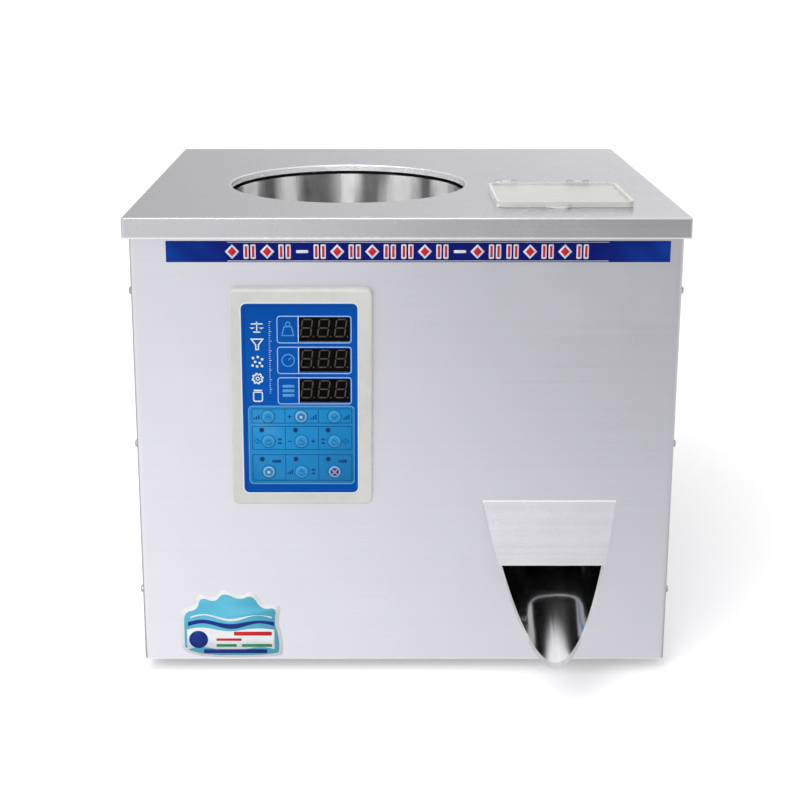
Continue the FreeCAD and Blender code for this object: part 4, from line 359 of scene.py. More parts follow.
    def ring(self, tree: bpy.types.NodeTree) -> None:
        """One in a flat ring round an upright axis: how near the radius is to a given one.

        Args:
            tree: the new group.
        """
        graph, given = self.open(tree, Centre=(0.0, 0.0, 0.0), Radius=0.1, Width=0.002)
        arm = graph.vector("SUBTRACT", graph.object_place(), given["Centre"])
        flat = graph.vector("MULTIPLY", arm, (1.0, 1.0, 0.0))
        radius = graph.put("ShaderNodeVectorMath", {0: flat}, operation="LENGTH").outputs["Value"]
        off = graph.maths("ABSOLUTE", graph.maths("SUBTRACT", radius, given["Radius"]))
        self.close(graph, graph.remap(off, 0.0, given["Width"], 1.0, 0.0))


EFFECTS = EffectLibrary()


@dataclass(frozen=True)
class Finish:
    """What every finish has: its record slot, its colour and how rough it is."""

    slot: str
    colour: Colour
    roughness: float = 0.4

    def dress(self, piece: bpy.types.Object) -> None:
        """Puts this finish on a piece as its only material.

        Args:
            piece: an object whose mesh is in place.
        """
        material = bpy.data.materials.new(f"{self.slot} on {piece.name}")
        graph = blank_graph(material)
        shader = graph.put("ShaderNodeBsdfPrincipled", {"Roughness": self.roughness})
        graph.put("ShaderNodeOutputMaterial", {0: shader.outputs[0]})
        corners = np.empty(len(piece.data.vertices) * 3, np.float32)
        piece.data.vertices.foreach_get("co", corners)
        corners = corners.reshape(-1, 3)
        low, high = corners.min(0), corners.max(0)
        self.shade(graph, shader, tuple(map(float, low)), tuple(map(float, high)))
        piece.data.materials.clear()
        piece.data.materials.append(material)

    def shade(self, graph: Graph, shader: bpy.types.Node, low: Point, high: Point) -> None:
        """Writes the finish's own nodes.

        Args:
            graph: the material's graph.
            shader: its Principled node.
            low: the piece's lowest corner.
            high: the piece's highest corner.
        """
        raise NotImplementedError

    def tones(self, graph: Graph, mask: Value, first: float, last: float) -> Socket:
        """The finish's colour times the first factor where the mask is nought, and times the last at one."""
        return graph.mix(mask, shade(self.colour, first), shade(self.colour, last))

    def colour_of(self, graph: Graph, shader: bpy.types.Node, colour: Value) -> None:
        """Links a varying colour to the shader."""
        graph.tree.links.new(colour, shader.inputs["Base Color"])

    def roughness_of(self, graph: Graph, shader: bpy.types.Node, mask: Value,
                     first: float, last: float) -> None:
        """Makes the roughness follow a mask, between two factors of the finish's own."""
        varied = graph.remap(mask, 0.0, 1.0, self.roughness * first, self.roughness * last)
        graph.tree.links.new(varied, shader.inputs["Roughness"])

    def bump(self, graph: Graph, shader: bpy.types.Node, height: Value, depth_mm: float,
             strength: float = 1.0) -> None:
        """Raises the surface by a mask.

        Args:
            graph: the material's graph.
            shader: its Principled node.
            height: the mask.
            depth_mm: how deep a full step of the mask is.
            strength: how much of it shows.
        """
        sockets = {"Strength": strength, "Distance": depth_mm * MM, "Height": height}
        graph.tree.links.new(graph.put("ShaderNodeBump", sockets).outputs[0], shader.inputs["Normal"])


@dataclass(frozen=True)
class SheetSteel(Finish):
    """Rolled or brushed sheet: lines along the lay, smudges, bright edges that are partly wear and partly
    painted highlight, a little dust, and where a band is given a painted highlight ring.
    """

    lay: Lay = Lay.ACROSS
    contrast: float = 0.05
    edge_mm: float = 1.2
    edge_lift: float = 1.3
    dust: float = 0.12
    metallic: float = 1.0
    relief: float = 0.012
    smudge: float = 0.15
    edge_metallic: float = 1.0
    edge_evenness: float = 0.45
    # a painted highlight ring round the hopper: its radius and width in mm
    band: tuple[float, float] | None = None

    def shade(self, graph: Graph, shader: bpy.types.Node, low: Point, high: Point) -> None:
        """Mixes two close greys by the grain and lifts them along the edges, partly as wear and partly as a
        painted highlight, and paints a highlight ring where a band is given.

        Args:
            graph: the material's graph.
            shader: its Principled node.
            low: the piece's lowest corner.
            high: the piece's highest corner.
        """
        shader.inputs["Metallic"].default_value = self.metallic
        grain = graph.effect(Effect.GRAIN, Scale=self.lay.value)
        smudge = graph.effect(Effect.SMUDGE, Scale=7.0)
        edges = graph.effect(Effect.EDGES, Low=low, High=high, Width=self.edge_mm * MM,
                             Evenness=self.edge_evenness)
        bright = edges
        colour = self.tones(graph, grain, 1.0 - self.contrast, 1.0 + self.contrast)
        colour = graph.mix(graph.maths("MULTIPLY", smudge, self.smudge), colour, shade(self.colour, 0.9))
        colour = graph.mix(edges, colour, shade(self.colour, self.edge_lift))
        # painted highlight: a white ring on the hopper's rolled rim
        if self.band:
            centre = (HOPPER_CENTRE_MM[0] * MM, HOPPER_CENTRE_MM[1] * MM, 0.0)
            radius, width = self.band
            ring = graph.effect(Effect.RING, Centre=centre, Radius=radius * MM, Width=width * MM)
            colour = graph.mix(ring, colour, shade(RIM_HIGHLIGHT_WHITE, 1.0))
            bright = graph.maths("MAXIMUM", edges, ring)
        # less metallic on the edges and the ring makes their painted highlight read white
        if self.edge_metallic < self.metallic:
            shine = graph.remap(bright, 0.0, 1.0, self.metallic, self.edge_metallic)
            graph.tree.links.new(shine, shader.inputs["Metallic"])
        colour = graph.mix(graph.effect(Effect.DUST, Amount=self.dust), colour, shade(SHEET_DUST, 1.0))
        self.colour_of(graph, shader, colour)
        worn = graph.maths("ADD", graph.maths("MULTIPLY", smudge, 0.6), graph.maths("MULTIPLY", grain, 0.4))
        self.roughness_of(graph, shader, worn, 0.82, 1.22)
        self.bump(graph, shader, grain, 0.02, self.relief)


@dataclass(frozen=True)
class SpunSteel(Finish):
    """Polished spun steel: streaks round an upright axis, partly spun marks and partly painted reflection."""

    centre_mm: tuple[float, float] = HOPPER_CENTRE_MM
    contrast: float = 0.22
    fineness: float = 3.2
    metallic: float = 1.0
    start: float = 0.0

    def shade(self, graph: Graph, shader: bpy.types.Node, low: Point, high: Point) -> None:
        """Mixes a dark and a bright steel by the streaks, which are in part a painted reflection.

        Args:
            graph: the material's graph.
            shader: its Principled node.
            low: the piece's lowest corner; not used.
            high: the piece's highest corner; not used.
        """
        shader.inputs["Metallic"].default_value = self.metallic
        centre = (self.centre_mm[0] * MM, self.centre_mm[1] * MM, 0.0)
        streak_and_reflection = graph.effect(Effect.SPUN_AND_REFLECTION, Centre=centre, Fineness=self.fineness, Start=self.start)
        smudge = graph.effect(Effect.SMUDGE, Scale=14.0)
        colour = self.tones(graph, streak_and_reflection, 1.0 - self.contrast, 1.0 + self.contrast)
        colour = graph.mix(graph.maths("MULTIPLY", smudge, 0.2), colour, shade(self.colour, 0.8))
        self.colour_of(graph, shader, colour)
        self.roughness_of(graph, shader, streak_and_reflection, 0.8, 1.3)
        self.bump(graph, shader, streak_and_reflection, 0.12, 0.5)


@dataclass(frozen=True)
class CastMetal(Finish):
    """Cast or coated metal: a pebbled skin, dust on top and lighter edges, partly wear and partly painted
    highlight.
    """

    metallic: float = 1.0
    skin_scale: float = 900.0
    edge_lift: float = 1.5
    edge_mm: float = 1.0

    def shade(self, graph: Graph, shader: bpy.types.Node, low: Point, high: Point) -> None:
        """Tints the skin's hollows and lifts the edges, partly as wear and partly as a painted highlight.

        Args:
            graph: the material's graph.
            shader: its Principled node.
            low: the piece's lowest corner.
            high: the piece's highest corner.
        """
        shader.inputs["Metallic"].default_value = self.metallic
        skin = graph.effect(Effect.SKIN, Scale=self.skin_scale)
        edges = graph.effect(Effect.EDGES, Low=low, High=high, Width=self.edge_mm * MM)
        colour = self.tones(graph, skin, 0.82, 1.1)
        colour = graph.mix(edges, colour, shade(self.colour, self.edge_lift))
        colour = graph.mix(graph.effect(Effect.DUST, Amount=0.3), colour, shade(CASTING_DUST, 1.0))
        self.colour_of(graph, shader, colour)
        self.roughness_of(graph, shader, graph.effect(Effect.SMUDGE, Scale=16.0), 0.85, 1.15)
        self.bump(graph, shader, skin, 0.08, 0.5)


@dataclass(frozen=True)
class MouldedPlastic(Finish):
    """Moulded plastic or rubber: a faint skin, handling marks and dust."""

    skin_scale: float = 1400.0
    relief_mm: float = 0.03
    gloss: float = 0.0
    dust: float = 0.1
    edge_lift: float = 1.12
    specular: float = 0.4

    def shade(self, graph: Graph, shader: bpy.types.Node, low: Point, high: Point) -> None:
        """Varies the colour a little with the smudges and lifts the edges, partly as a painted highlight.

        Args:
            graph: the material's graph.
            shader: its Principled node.
            low: the piece's lowest corner.
            high: the piece's highest corner.
        """
        shader.inputs["Coat Weight"].default_value = self.gloss
        shader.inputs["Coat Roughness"].default_value = 0.15
        shader.inputs["Specular IOR Level"].default_value = self.specular
        smudge = graph.effect(Effect.SMUDGE, Scale=18.0)
        edges = graph.effect(Effect.EDGES, Low=low, High=high, Width=1.0 * MM)
        colour = self.tones(graph, smudge, 1.03, 0.93)
        colour = graph.mix(edges, colour, shade(self.colour, self.edge_lift))
        colour = graph.mix(graph.effect(Effect.DUST, Amount=self.dust), colour, shade(PLASTIC_DUST, 1.0))
        self.colour_of(graph, shader, colour)
        self.roughness_of(graph, shader, smudge, 0.85, 1.2)
        self.bump(graph, shader, graph.effect(Effect.SKIN, Scale=self.skin_scale), self.relief_mm, 0.4)


@dataclass(frozen=True)
class ClearSheet(Finish):
    """Clear acrylic: mostly see-through, whiter at a low angle and along its cut edges, where the white is
    partly frosted cut and partly painted highlight.
    """

    see_through: float = 0.42

    def shade(self, graph: Graph, shader: bpy.types.Node, low: Point, high: Point) -> None:
        """Raises the alpha with the view's slant, the cut edges with their partly painted highlight, and fine
        scratches.

        Args:
            graph: the material's graph.
            shader: its Principled node.
            low: the piece's lowest corner.
            high: the piece's highest corner.
        """
        edges = graph.effect(Effect.EDGES, Low=low, High=high, Width=2.2 * MM)
        scratches = graph.effect(Effect.GRAIN, Scale=(40.0, 260.0, 40.0))
        slant = graph.put("ShaderNodeLayerWeight", {"Blend": 0.35}).outputs["Facing"]
        body = graph.remap(slant, 0.0, 1.0, 1.0 - self.see_through, 0.8)
        body = graph.maths("ADD", body, graph.maths("MULTIPLY", scratches, 0.05))
        alpha = graph.maths("ADD", body, graph.maths("MULTIPLY", edges, 0.75), clamp=True)
        graph.tree.links.new(alpha, shader.inputs["Alpha"])
        # painted highlight in part: the cut edges turn near white
        self.colour_of(graph, shader, graph.mix(edges, shade(self.colour, 1.0), shade(CUT_EDGE_HIGHLIGHT_WHITE, 1.0)))
        self.roughness_of(graph, shader, scratches, 0.7, 1.5)
        shader.inputs["Specular IOR Level"].default_value = 0.3


@dataclass(frozen=True)
class PrintedFilm(Finish):
    """A printed film: one colour that turns to another towards its two ends."""

    end_colour: Colour = (0.0, 0.1, 0.5)
    axis: int = 0
    hold: float = 0.55
    weave_scale: float = 0.0

    def shade(self, graph: Graph, shader: bpy.types.Node, low: Point, high: Point) -> None:
        """Finds how far the point is from the middle along the axis, and mixes by that.

        Args:
            graph: the material's graph.
            shader: its Principled node.
            low: the piece's lowest corner.
            high: the piece's highest corner.
        """
        shader.inputs["Specular IOR Level"].default_value = 0.05
        place = graph.parts(graph.object_place())[self.axis]
        start, end = low[self.axis], high[self.axis]
        middle, half = (start + end) / 2, (end - start) / 2
        away = graph.maths("ABSOLUTE", graph.maths("SUBTRACT", place, middle))
        ends = graph.remap(away, half * self.hold, half, 0.0, 1.0)
        if self.weave_scale:
            sockets = {"Vector": graph.object_place(), "Scale": self.weave_scale, "Distortion": 1.5}
            wave = graph.put("ShaderNodeTexWave", sockets, bands_direction="DIAGONAL").outputs[0]
            ends = graph.maths("MULTIPLY", ends, graph.remap(wave, 0.0, 1.0, 0.55, 1.0))
        print_grain = graph.noise(graph.object_place(), 420.0, 2.0)
        colour = graph.mix(ends, shade(self.colour, 1.0), shade(self.end_colour, 1.0))
        colour = graph.mix(graph.maths("MULTIPLY", print_grain, 0.16), colour, shade(self.end_colour, 1.15))
        self.colour_of(graph, shader, colour)
        self.roughness_of(graph, shader, print_grain, 0.8, 1.2)


@dataclass(frozen=True)
class Ink(Finish):
    """Screen-printed ink: nearly even, with the print's fine grain."""

    def shade(self, graph: Graph, shader: bpy.types.Node, low: Point, high: Point) -> None:
        """Mixes two close tones by fine noise.

        Args:
            graph: the material's graph.
            shader: its Principled node.
            low: the piece's lowest corner; not used.
            high: the piece's highest corner; not used.
        """
        shader.inputs["Specular IOR Level"].default_value = 0.12
        speck = graph.noise(graph.object_place(), 900.0, 2.0)
        self.colour_of(graph, shader, self.tones(graph, speck, 0.93, 1.06))
        self.roughness_of(graph, shader, speck, 0.85, 1.15)


@dataclass(frozen=True)
class BoardLaminate(Finish):
    """A circuit board's solder mask, with faint tracks under it."""

    def shade(self, graph: Graph, shader: bpy.types.Node, low: Point, high: Point) -> None:
        """Draws the tracks as the joints of a brick pattern stood on edge.

        Args:
            graph: the material's graph.
            shader: its Principled node.
            low: the piece's lowest corner; not used.
            high: the piece's highest corner; not used.
        """
        place = graph.parts(graph.object_place())
        across = graph.maths("ADD", place[0], place[1])
        flat = graph.put("ShaderNodeCombineXYZ", {0: across, 1: place[2]}).outputs[0]
        sockets = {"Vector": flat, "Scale": 260.0, "Mortar Size": 0.03, "Color1": shade(self.colour, 1.0),
                   "Color2": shade(self.colour, 0.8), "Mortar": shade(self.colour, 2.2)}
        self.colour_of(graph, shader, graph.put("ShaderNodeTexBrick", sockets).outputs[0])
        self.roughness_of(graph, shader, graph.effect(Effect.SMUDGE, Scale=20.0), 0.75, 1.25)


@dataclass(frozen=True)
class EnamelWire(Finish):
    """Enamelled wire: warm copper that darkens in patches."""

    def shade(self, graph: Graph, shader: bpy.types.Node, low: Point, high: Point) -> None:
        """Mixes a light and a dark copper by the smudges.

        Args:
            graph: the material's graph.
            shader: its Principled node.
            low: the piece's lowest corner; not used.
            high: the piece's highest corner; not used.
        """
        shader.inputs["Metallic"].default_value = 0.85
        shader.inputs["Coat Weight"].default_value = 0.5
        smudge = graph.effect(Effect.SMUDGE, Scale=60.0)
        self.colour_of(graph, shader, self.tones(graph, smudge, 1.1, 0.7))
        self.roughness_of(graph, shader, smudge, 0.55, 1.0)


@dataclass(frozen=True)
class Form:
    """A surface as arrays: its points, the corners of its faces in order, and each face's corner count."""

    points: Array
    corners: Array
    counts: Array

    @staticmethod
    def grid(points: Array, wrap_u: bool = False, wrap_v: bool = False) -> "Form":
        """A surface over a grid of points.

        Each face joins a point to its next along u and along v, worked out for the
        whole grid at once from the array of point numbers rolled by one.

        Args:
            points: an array of rows, columns and three coordinates.
            wrap_u: the last row joins the first.
            wrap_v: the last column joins the first.

        Returns:
            The surface.
        """
        rows, columns = points.shape[:2]
        numbers = np.arange(rows * columns).reshape(rows, columns)
        down, right = np.roll(numbers, -1, 0), np.roll(numbers, -1, 1)
        both = np.roll(down, -1, 1)
        faces = np.stack([numbers, down, both, right], -1)
        faces = faces[: rows if wrap_u else rows - 1, : columns if wrap_v else columns - 1].reshape(-1, 4)
        return Form(points.reshape(-1, 3), faces.ravel(), np.full(len(faces), 4))

    @staticmethod
    def joined(forms: list["Form"]) -> "Form":
        """Several surfaces as one, with the point numbers of each moved past the last.

        Args:
            forms: the surfaces.

        Returns:
            The one surface.
        """
        starts = np.cumsum([0] + [len(form.points) for form in forms[:-1]])
        corners = [form.corners + start for form, start in zip(forms, starts)]
        return Form(np.concatenate([form.points for form in forms]), np.concatenate(corners),
                    np.concatenate([form.counts for form in forms]))

    def mesh(self, name: str) -> bpy.types.Mesh:
        """The surface as a mesh in metres, from points in millimetres.

        Args:
            name: the mesh's name.

        Returns:
            The mesh, with its edges worked out.
        """
        mesh = bpy.data.meshes.new(name)
        mesh.vertices.add(len(self.points))
        mesh.vertices.foreach_set("co", (self.points * MM).astype(np.float32).ravel())
        mesh.loops.add(len(self.corners))
        mesh.loops.foreach_set("vertex_index", self.corners.astype(np.int32))
        mesh.polygons.add(len(self.counts))
        mesh.polygons.foreach_set("loop_start", (np.cumsum(self.counts) - self.counts).astype(np.int32))
        mesh.update(calc_edges=True)
        mesh.validate()
        return mesh


@dataclass(frozen=True)
class Artwork:
    """Flat artwork on a face that looks to the front, in millimetres across and up.

    Where a dome is given, every point is moved onto it: its depth is that of a ball
    through the dome's rim and top, at the point's distance from the dome's centre.
    """

    front_mm: float
    dome_mm: tuple[float, float, float, float] | None = None

    def lift(self, flat: Array) -> Array:
        """Gives flat points their depth.

        Args:
            flat: an array whose last axis is across and up.

        Returns:
            The same array with a last axis of across, deep and up.
        """
        depth = np.full(flat.shape[:-1], self.front_mm)
        if self.dome_mm:
            x, z, radius, height = self.dome_mm
            ball = (radius ** 2 + height ** 2) / (2 * height)
            away = np.hypot(flat[..., 0] - x, flat[..., 1] - z)
            depth = depth - (np.sqrt(ball ** 2 - np.minimum(away, radius) ** 2) - (ball - height))
        return np.stack([flat[..., 0], depth, flat[..., 1]], -1)

    def area(self, path: Array) -> Form:
        """A filled outline as one face; the outline runs anticlockwise seen from the front."""
        return Form(self.lift(path), np.arange(len(path)), np.array([len(path)]))

    def disc(self, x: float, z: float, radius: float, rings: int = 5) -> Form:
        """A filled circle in rings, so that it can follow a dome.

        A point is the centre plus the ring's radius times the cosine and sine of its angle.

        Args:
            x: its centre across.
            z: its centre up.
            radius: its outer radius.
            rings: how many rings it is cut into.

        Returns:
            The disc, with a pinprick of a hole at its centre.
        """
        angle = np.linspace(0.0, 2 * np.pi, 37)[:-1]
        reach = np.linspace(0.02, radius, rings)[:, None]
        flat = np.stack([x + reach * np.cos(angle), z + reach * np.sin(angle)], -1)
        return Form.grid(self.lift(flat), wrap_v=True)

    def line(self, path: Array, width: float, closed: bool = True) -> Form:
        """A line of even width along a path, mitred at its corners.

        Each point moves to both sides along the sum of its two edges' normals, over
        one plus their product, which is the mitre.

        Args:
            path: points across and up.
            width: the line's width.
            closed: the last point joins the first.

        Returns:
            The line as a strip of faces.
        """
        ahead = np.roll(path, -1, 0) - path
        if not closed:
            ahead[-1] = ahead[-2]
        ahead = ahead / np.linalg.norm(ahead, axis=1, keepdims=True)
        left = np.stack([-ahead[:, 1], ahead[:, 0]], 1)
        before = np.roll(left, 1, 0)
        if not closed:
            before[0] = left[0]
        mitre = (left + before) / (1.0 + (left * before).sum(1, keepdims=True)).clip(0.4)
        sides = np.stack([path + mitre * width / 2, path - mitre * width / 2])
        return Form.grid(self.lift(sides), wrap_v=closed)

    @staticmethod
    def circle(x: float, z: float, radius: float, count: int = 36, lobes: int = 0,
               swell: float = 0.0) -> Array:
        """A circle, or a cog's wavy outline where lobes are given: the radius plus a sine of the angle.

        Args:
            x: its centre across.
            z: its centre up.
            radius: its radius.
            count: how many points it has.
            lobes: how many waves run round it.
            swell: how far each wave moves in and out.

        Returns:
            The points, anticlockwise.
        """
        angle = np.linspace(0.0, 2 * np.pi, count + 1)[:-1]
        reach = radius + swell * np.sin(lobes * angle)
        return np.stack([x + reach * np.cos(angle), z + reach * np.sin(angle)], 1)

    @staticmethod
    def rounded(x: float, z: float, width: float, height: float, radius: float) -> Array:
        """A rectangle with round corners: four quarter circles, each about its own corner's centre.

        Args:
            x: its centre across.
            z: its centre up.
            width: its size across.
            height: its size up.
            radius: the radius of its corners.

        Returns:
            The points, anticlockwise.
        """
        angle = np.linspace(0.0, np.pi / 2, 6)
        turn = np.repeat(np.arange(4), 6) * np.pi / 2
        angle = np.tile(angle, 4) + turn
        across = np.repeat([1, -1, -1, 1], 6) * (width / 2 - radius)
        up = np.repeat([1, 1, -1, -1], 6) * (height / 2 - radius)
        return np.stack([x + across + radius * np.cos(angle), z + up + radius * np.sin(angle)], 1)

    @staticmethod
    def run(points: list[tuple[float, float]], closed: bool = False, each: int = 6) -> Array:
        """Straight runs between points, each divided evenly.

        Args:
            points: the points to join.
            closed: the last point joins the first.
            each: how many steps each straight run has.

        Returns:
            The points of the path.
        """
        ends = np.array(points + points[:1] if closed else points, float)
        place = np.linspace(0, len(ends) - 1, (len(ends) - 1) * each + 1)
        path = np.stack([np.interp(place, np.arange(len(ends)), ends[:, axis]) for axis in (0, 1)], 1)
        return path[:-1] if closed else path

    @staticmethod
    def softened(points: list[tuple[float, float]], rounds: int = 3) -> Array:
        """A closed outline with each corner cut off a quarter of the way along its sides, a few times over.

        Args:
            points: the outline's corners.
            rounds: how many times the corners are cut.

        Returns:
            The points of the softened outline.
        """
        path = np.array(points, float)
        for _ in range(rounds):
            after = np.roll(path, -1, 0)
            path = np.stack([0.75 * path + 0.25 * after, 0.25 * path + 0.75 * after], 1).reshape(-1, 2)
        return path


@dataclass
class SubAssembly:
    """A group of pieces that are dressed and added together."""

    title: str = "sub-assembly"

    def build(self) -> None:
        """Dresses the group's nodes and adds its own pieces."""
        raise NotImplementedError

    def dress(self, finishes: dict[str, Finish]) -> None:
        """Gives nodes of the frame their finishes.

        Args:
            finishes: a finish for each node's name.
        """
        for node, finish in finishes.items():
            finish.dress(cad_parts[node])
            LOG.info("%s: %s dressed", self.title, node)

    def add(self, name: str, forms: list[Form], finish: Finish, body: str = "housing",
            thick_mm: float = 0.0, smooth: bool = False) -> bpy.types.Object:
        """Adds a piece of its own.

        Args:
            name: the piece's name.
            forms: its surfaces, in millimetres.
            finish: its finish.
            body: the body that it moves with.
            thick_mm: how thick its wall becomes, inwards from the surface.
            smooth: round surfaces are shaded smooth.

        Returns:
            The piece.
        """
        piece = bpy.data.objects.new(name, Form.joined(forms).mesh(name))
        bpy.context.scene.collection.objects.link(piece)
        if thick_mm:
            wall = piece.modifiers.new("wall", "SOLIDIFY")
            wall.thickness = thick_mm * MM
            wall.offset = -1.0
        if smooth:
            piece.data.shade_smooth()
        finish.dress(piece)
        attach(piece, body)
        LOG.info("%s: %s added", self.title, name)
        return piece


@dataclass
class CaseShell(SubAssembly):
    """The folded steel case, its top plate, tray, posts, feet and screws."""

    title: str = "case"
    steel: Colour = (0.755, 0.75, 0.805)
    plate_steel: Colour = (0.64, 0.638, 0.66)
    # the hopper rim's painted highlight ring: its radius and width
    flange_radius_mm: float = 97.4
    flange_width_mm: float = 2.6

    def build(self) -> None:
        """Dresses the case: lines run across the front and top, and back along the sides."""
        across = SheetSteel("case_steel", self.steel, 0.30, contrast=0.015, edge_lift=1.25)
        deep = SheetSteel("case_steel", self.steel, 0.30, lay=Lay.DEEP, contrast=0.02, edge_lift=1.25)
        # painted highlight: white lines along the plate's edges and round the hopper rim
        plate = SheetSteel("plate_steel", self.plate_steel, 0.26, contrast=0.02, edge_mm=1.5, edge_lift=1.6,
                           edge_metallic=0.12, edge_evenness=1.0, dust=0.02, smudge=0.08, relief=0.005,
                           band=(self.flange_radius_mm, self.flange_width_mm))
        self.dress({
            "top_plate": plate,
            "front_panel": across, "rear_panel": across,
            "left_side_panel": deep, "right_side_panel": deep,
            "corner_posts": SheetSteel("galvanised_steel", GALVANISED, 0.42, lay=Lay.UPRIGHT, contrast=0.15),
            "base_plate": SheetSteel("galvanised_steel", GALVANISED, 0.42, contrast=0.15, dust=0.5),
            "rubber_feet": MouldedPlastic("black_rubber", (0.018, 0.018, 0.02), 0.75, 700.0, 0.08),
            "case_screws": SheetSteel("screw_steel", SCREW, 0.28, lay=Lay.EVEN, contrast=0.1)})


class Mark(Enum):
    """What can stand at one place of the banner's row, and its letter in the motif."""

    LOZENGE = "L"
    BARS = "B"
    DASH = "-"


@dataclass
class TitleBanner(SubAssembly):
    """The printed strip under the top plate: a row of outlined lozenges and bars on navy."""

    title: str = "banner"
    left_mm: float = -129.0
    pitch_mm: float = 12.95
    middle_mm: float = 340.0
    motif: str = "LBLB-BLBLBBLB-LBBLBLB"
    white_lift_mm: float = 0.34
    red_lift_mm: float = 0.37
    ink_mm: float = 0.03
    bar_spread_mm: float = 2.6
    rule_middle_mm: float = 8.5
    rule_rise_mm: float = 7.1

    def build(self) -> None:
        """Dresses the strip and adds the row in white with red inside."""
        self.dress({"banner_strip": PrintedFilm("banner_film", (0.003, 0.005, 0.135), 0.4,
                                                (0.003, 0.045, 0.32), hold=0.7, weave_scale=22.0)})
        white, red = (Artwork(CASE_FRONT_MM - lift) for lift in (self.white_lift_mm, self.red_lift_mm))
        outer: list[Form] = []
        inner: list[Form] = []
        for number, letter in enumerate(self.motif):
            x, z = self.left_mm + number * self.pitch_mm, self.middle_mm
            mark = Mark(letter)
            if mark is Mark.LOZENGE:
                outer.append(white.area(self.lozenge(x, z, 10.6, 11.2)))
                inner.append(red.area(self.lozenge(x, z, 6.6, 7.4)))
            elif mark is Mark.BARS:
                for side in (-self.bar_spread_mm, self.bar_spread_mm):
                    outer.append(white.area(Artwork.rounded(x + side, z, 3.8, 11.0, 0.8)))
                    inner.append(red.area(Artwork.rounded(x + side, z, 1.9, 8.6, 0.5)))
            else:
                outer.append(white.area(Artwork.rounded(x, z, 9.0, 2.2, 0.5)))
        rule = self.pitch_mm * len(self.motif) + 10.0
        for z in (self.middle_mm - self.rule_rise_mm, self.middle_mm + self.rule_rise_mm):
            outer.append(white.area(Artwork.rounded(self.rule_middle_mm, z, rule, 0.45, 0.1)))
        for name, forms, ink in (("white", outer, WHITE_INK), ("red", inner, RED_INK)):
            finish = Ink("banner_film", ink, INK_ROUGHNESS)
            self.add(f"banner_print_{name}", forms, finish, thick_mm=self.ink_mm)

    @staticmethod
    def lozenge(x: float, z: float, width: float, height: float) -> Array:
        """A lozenge as its four corners, anticlockwise."""
        half = np.array([[width, 0], [0, height], [-width, 0], [0, -height]]) / 2
        return np.array([x, z]) + half


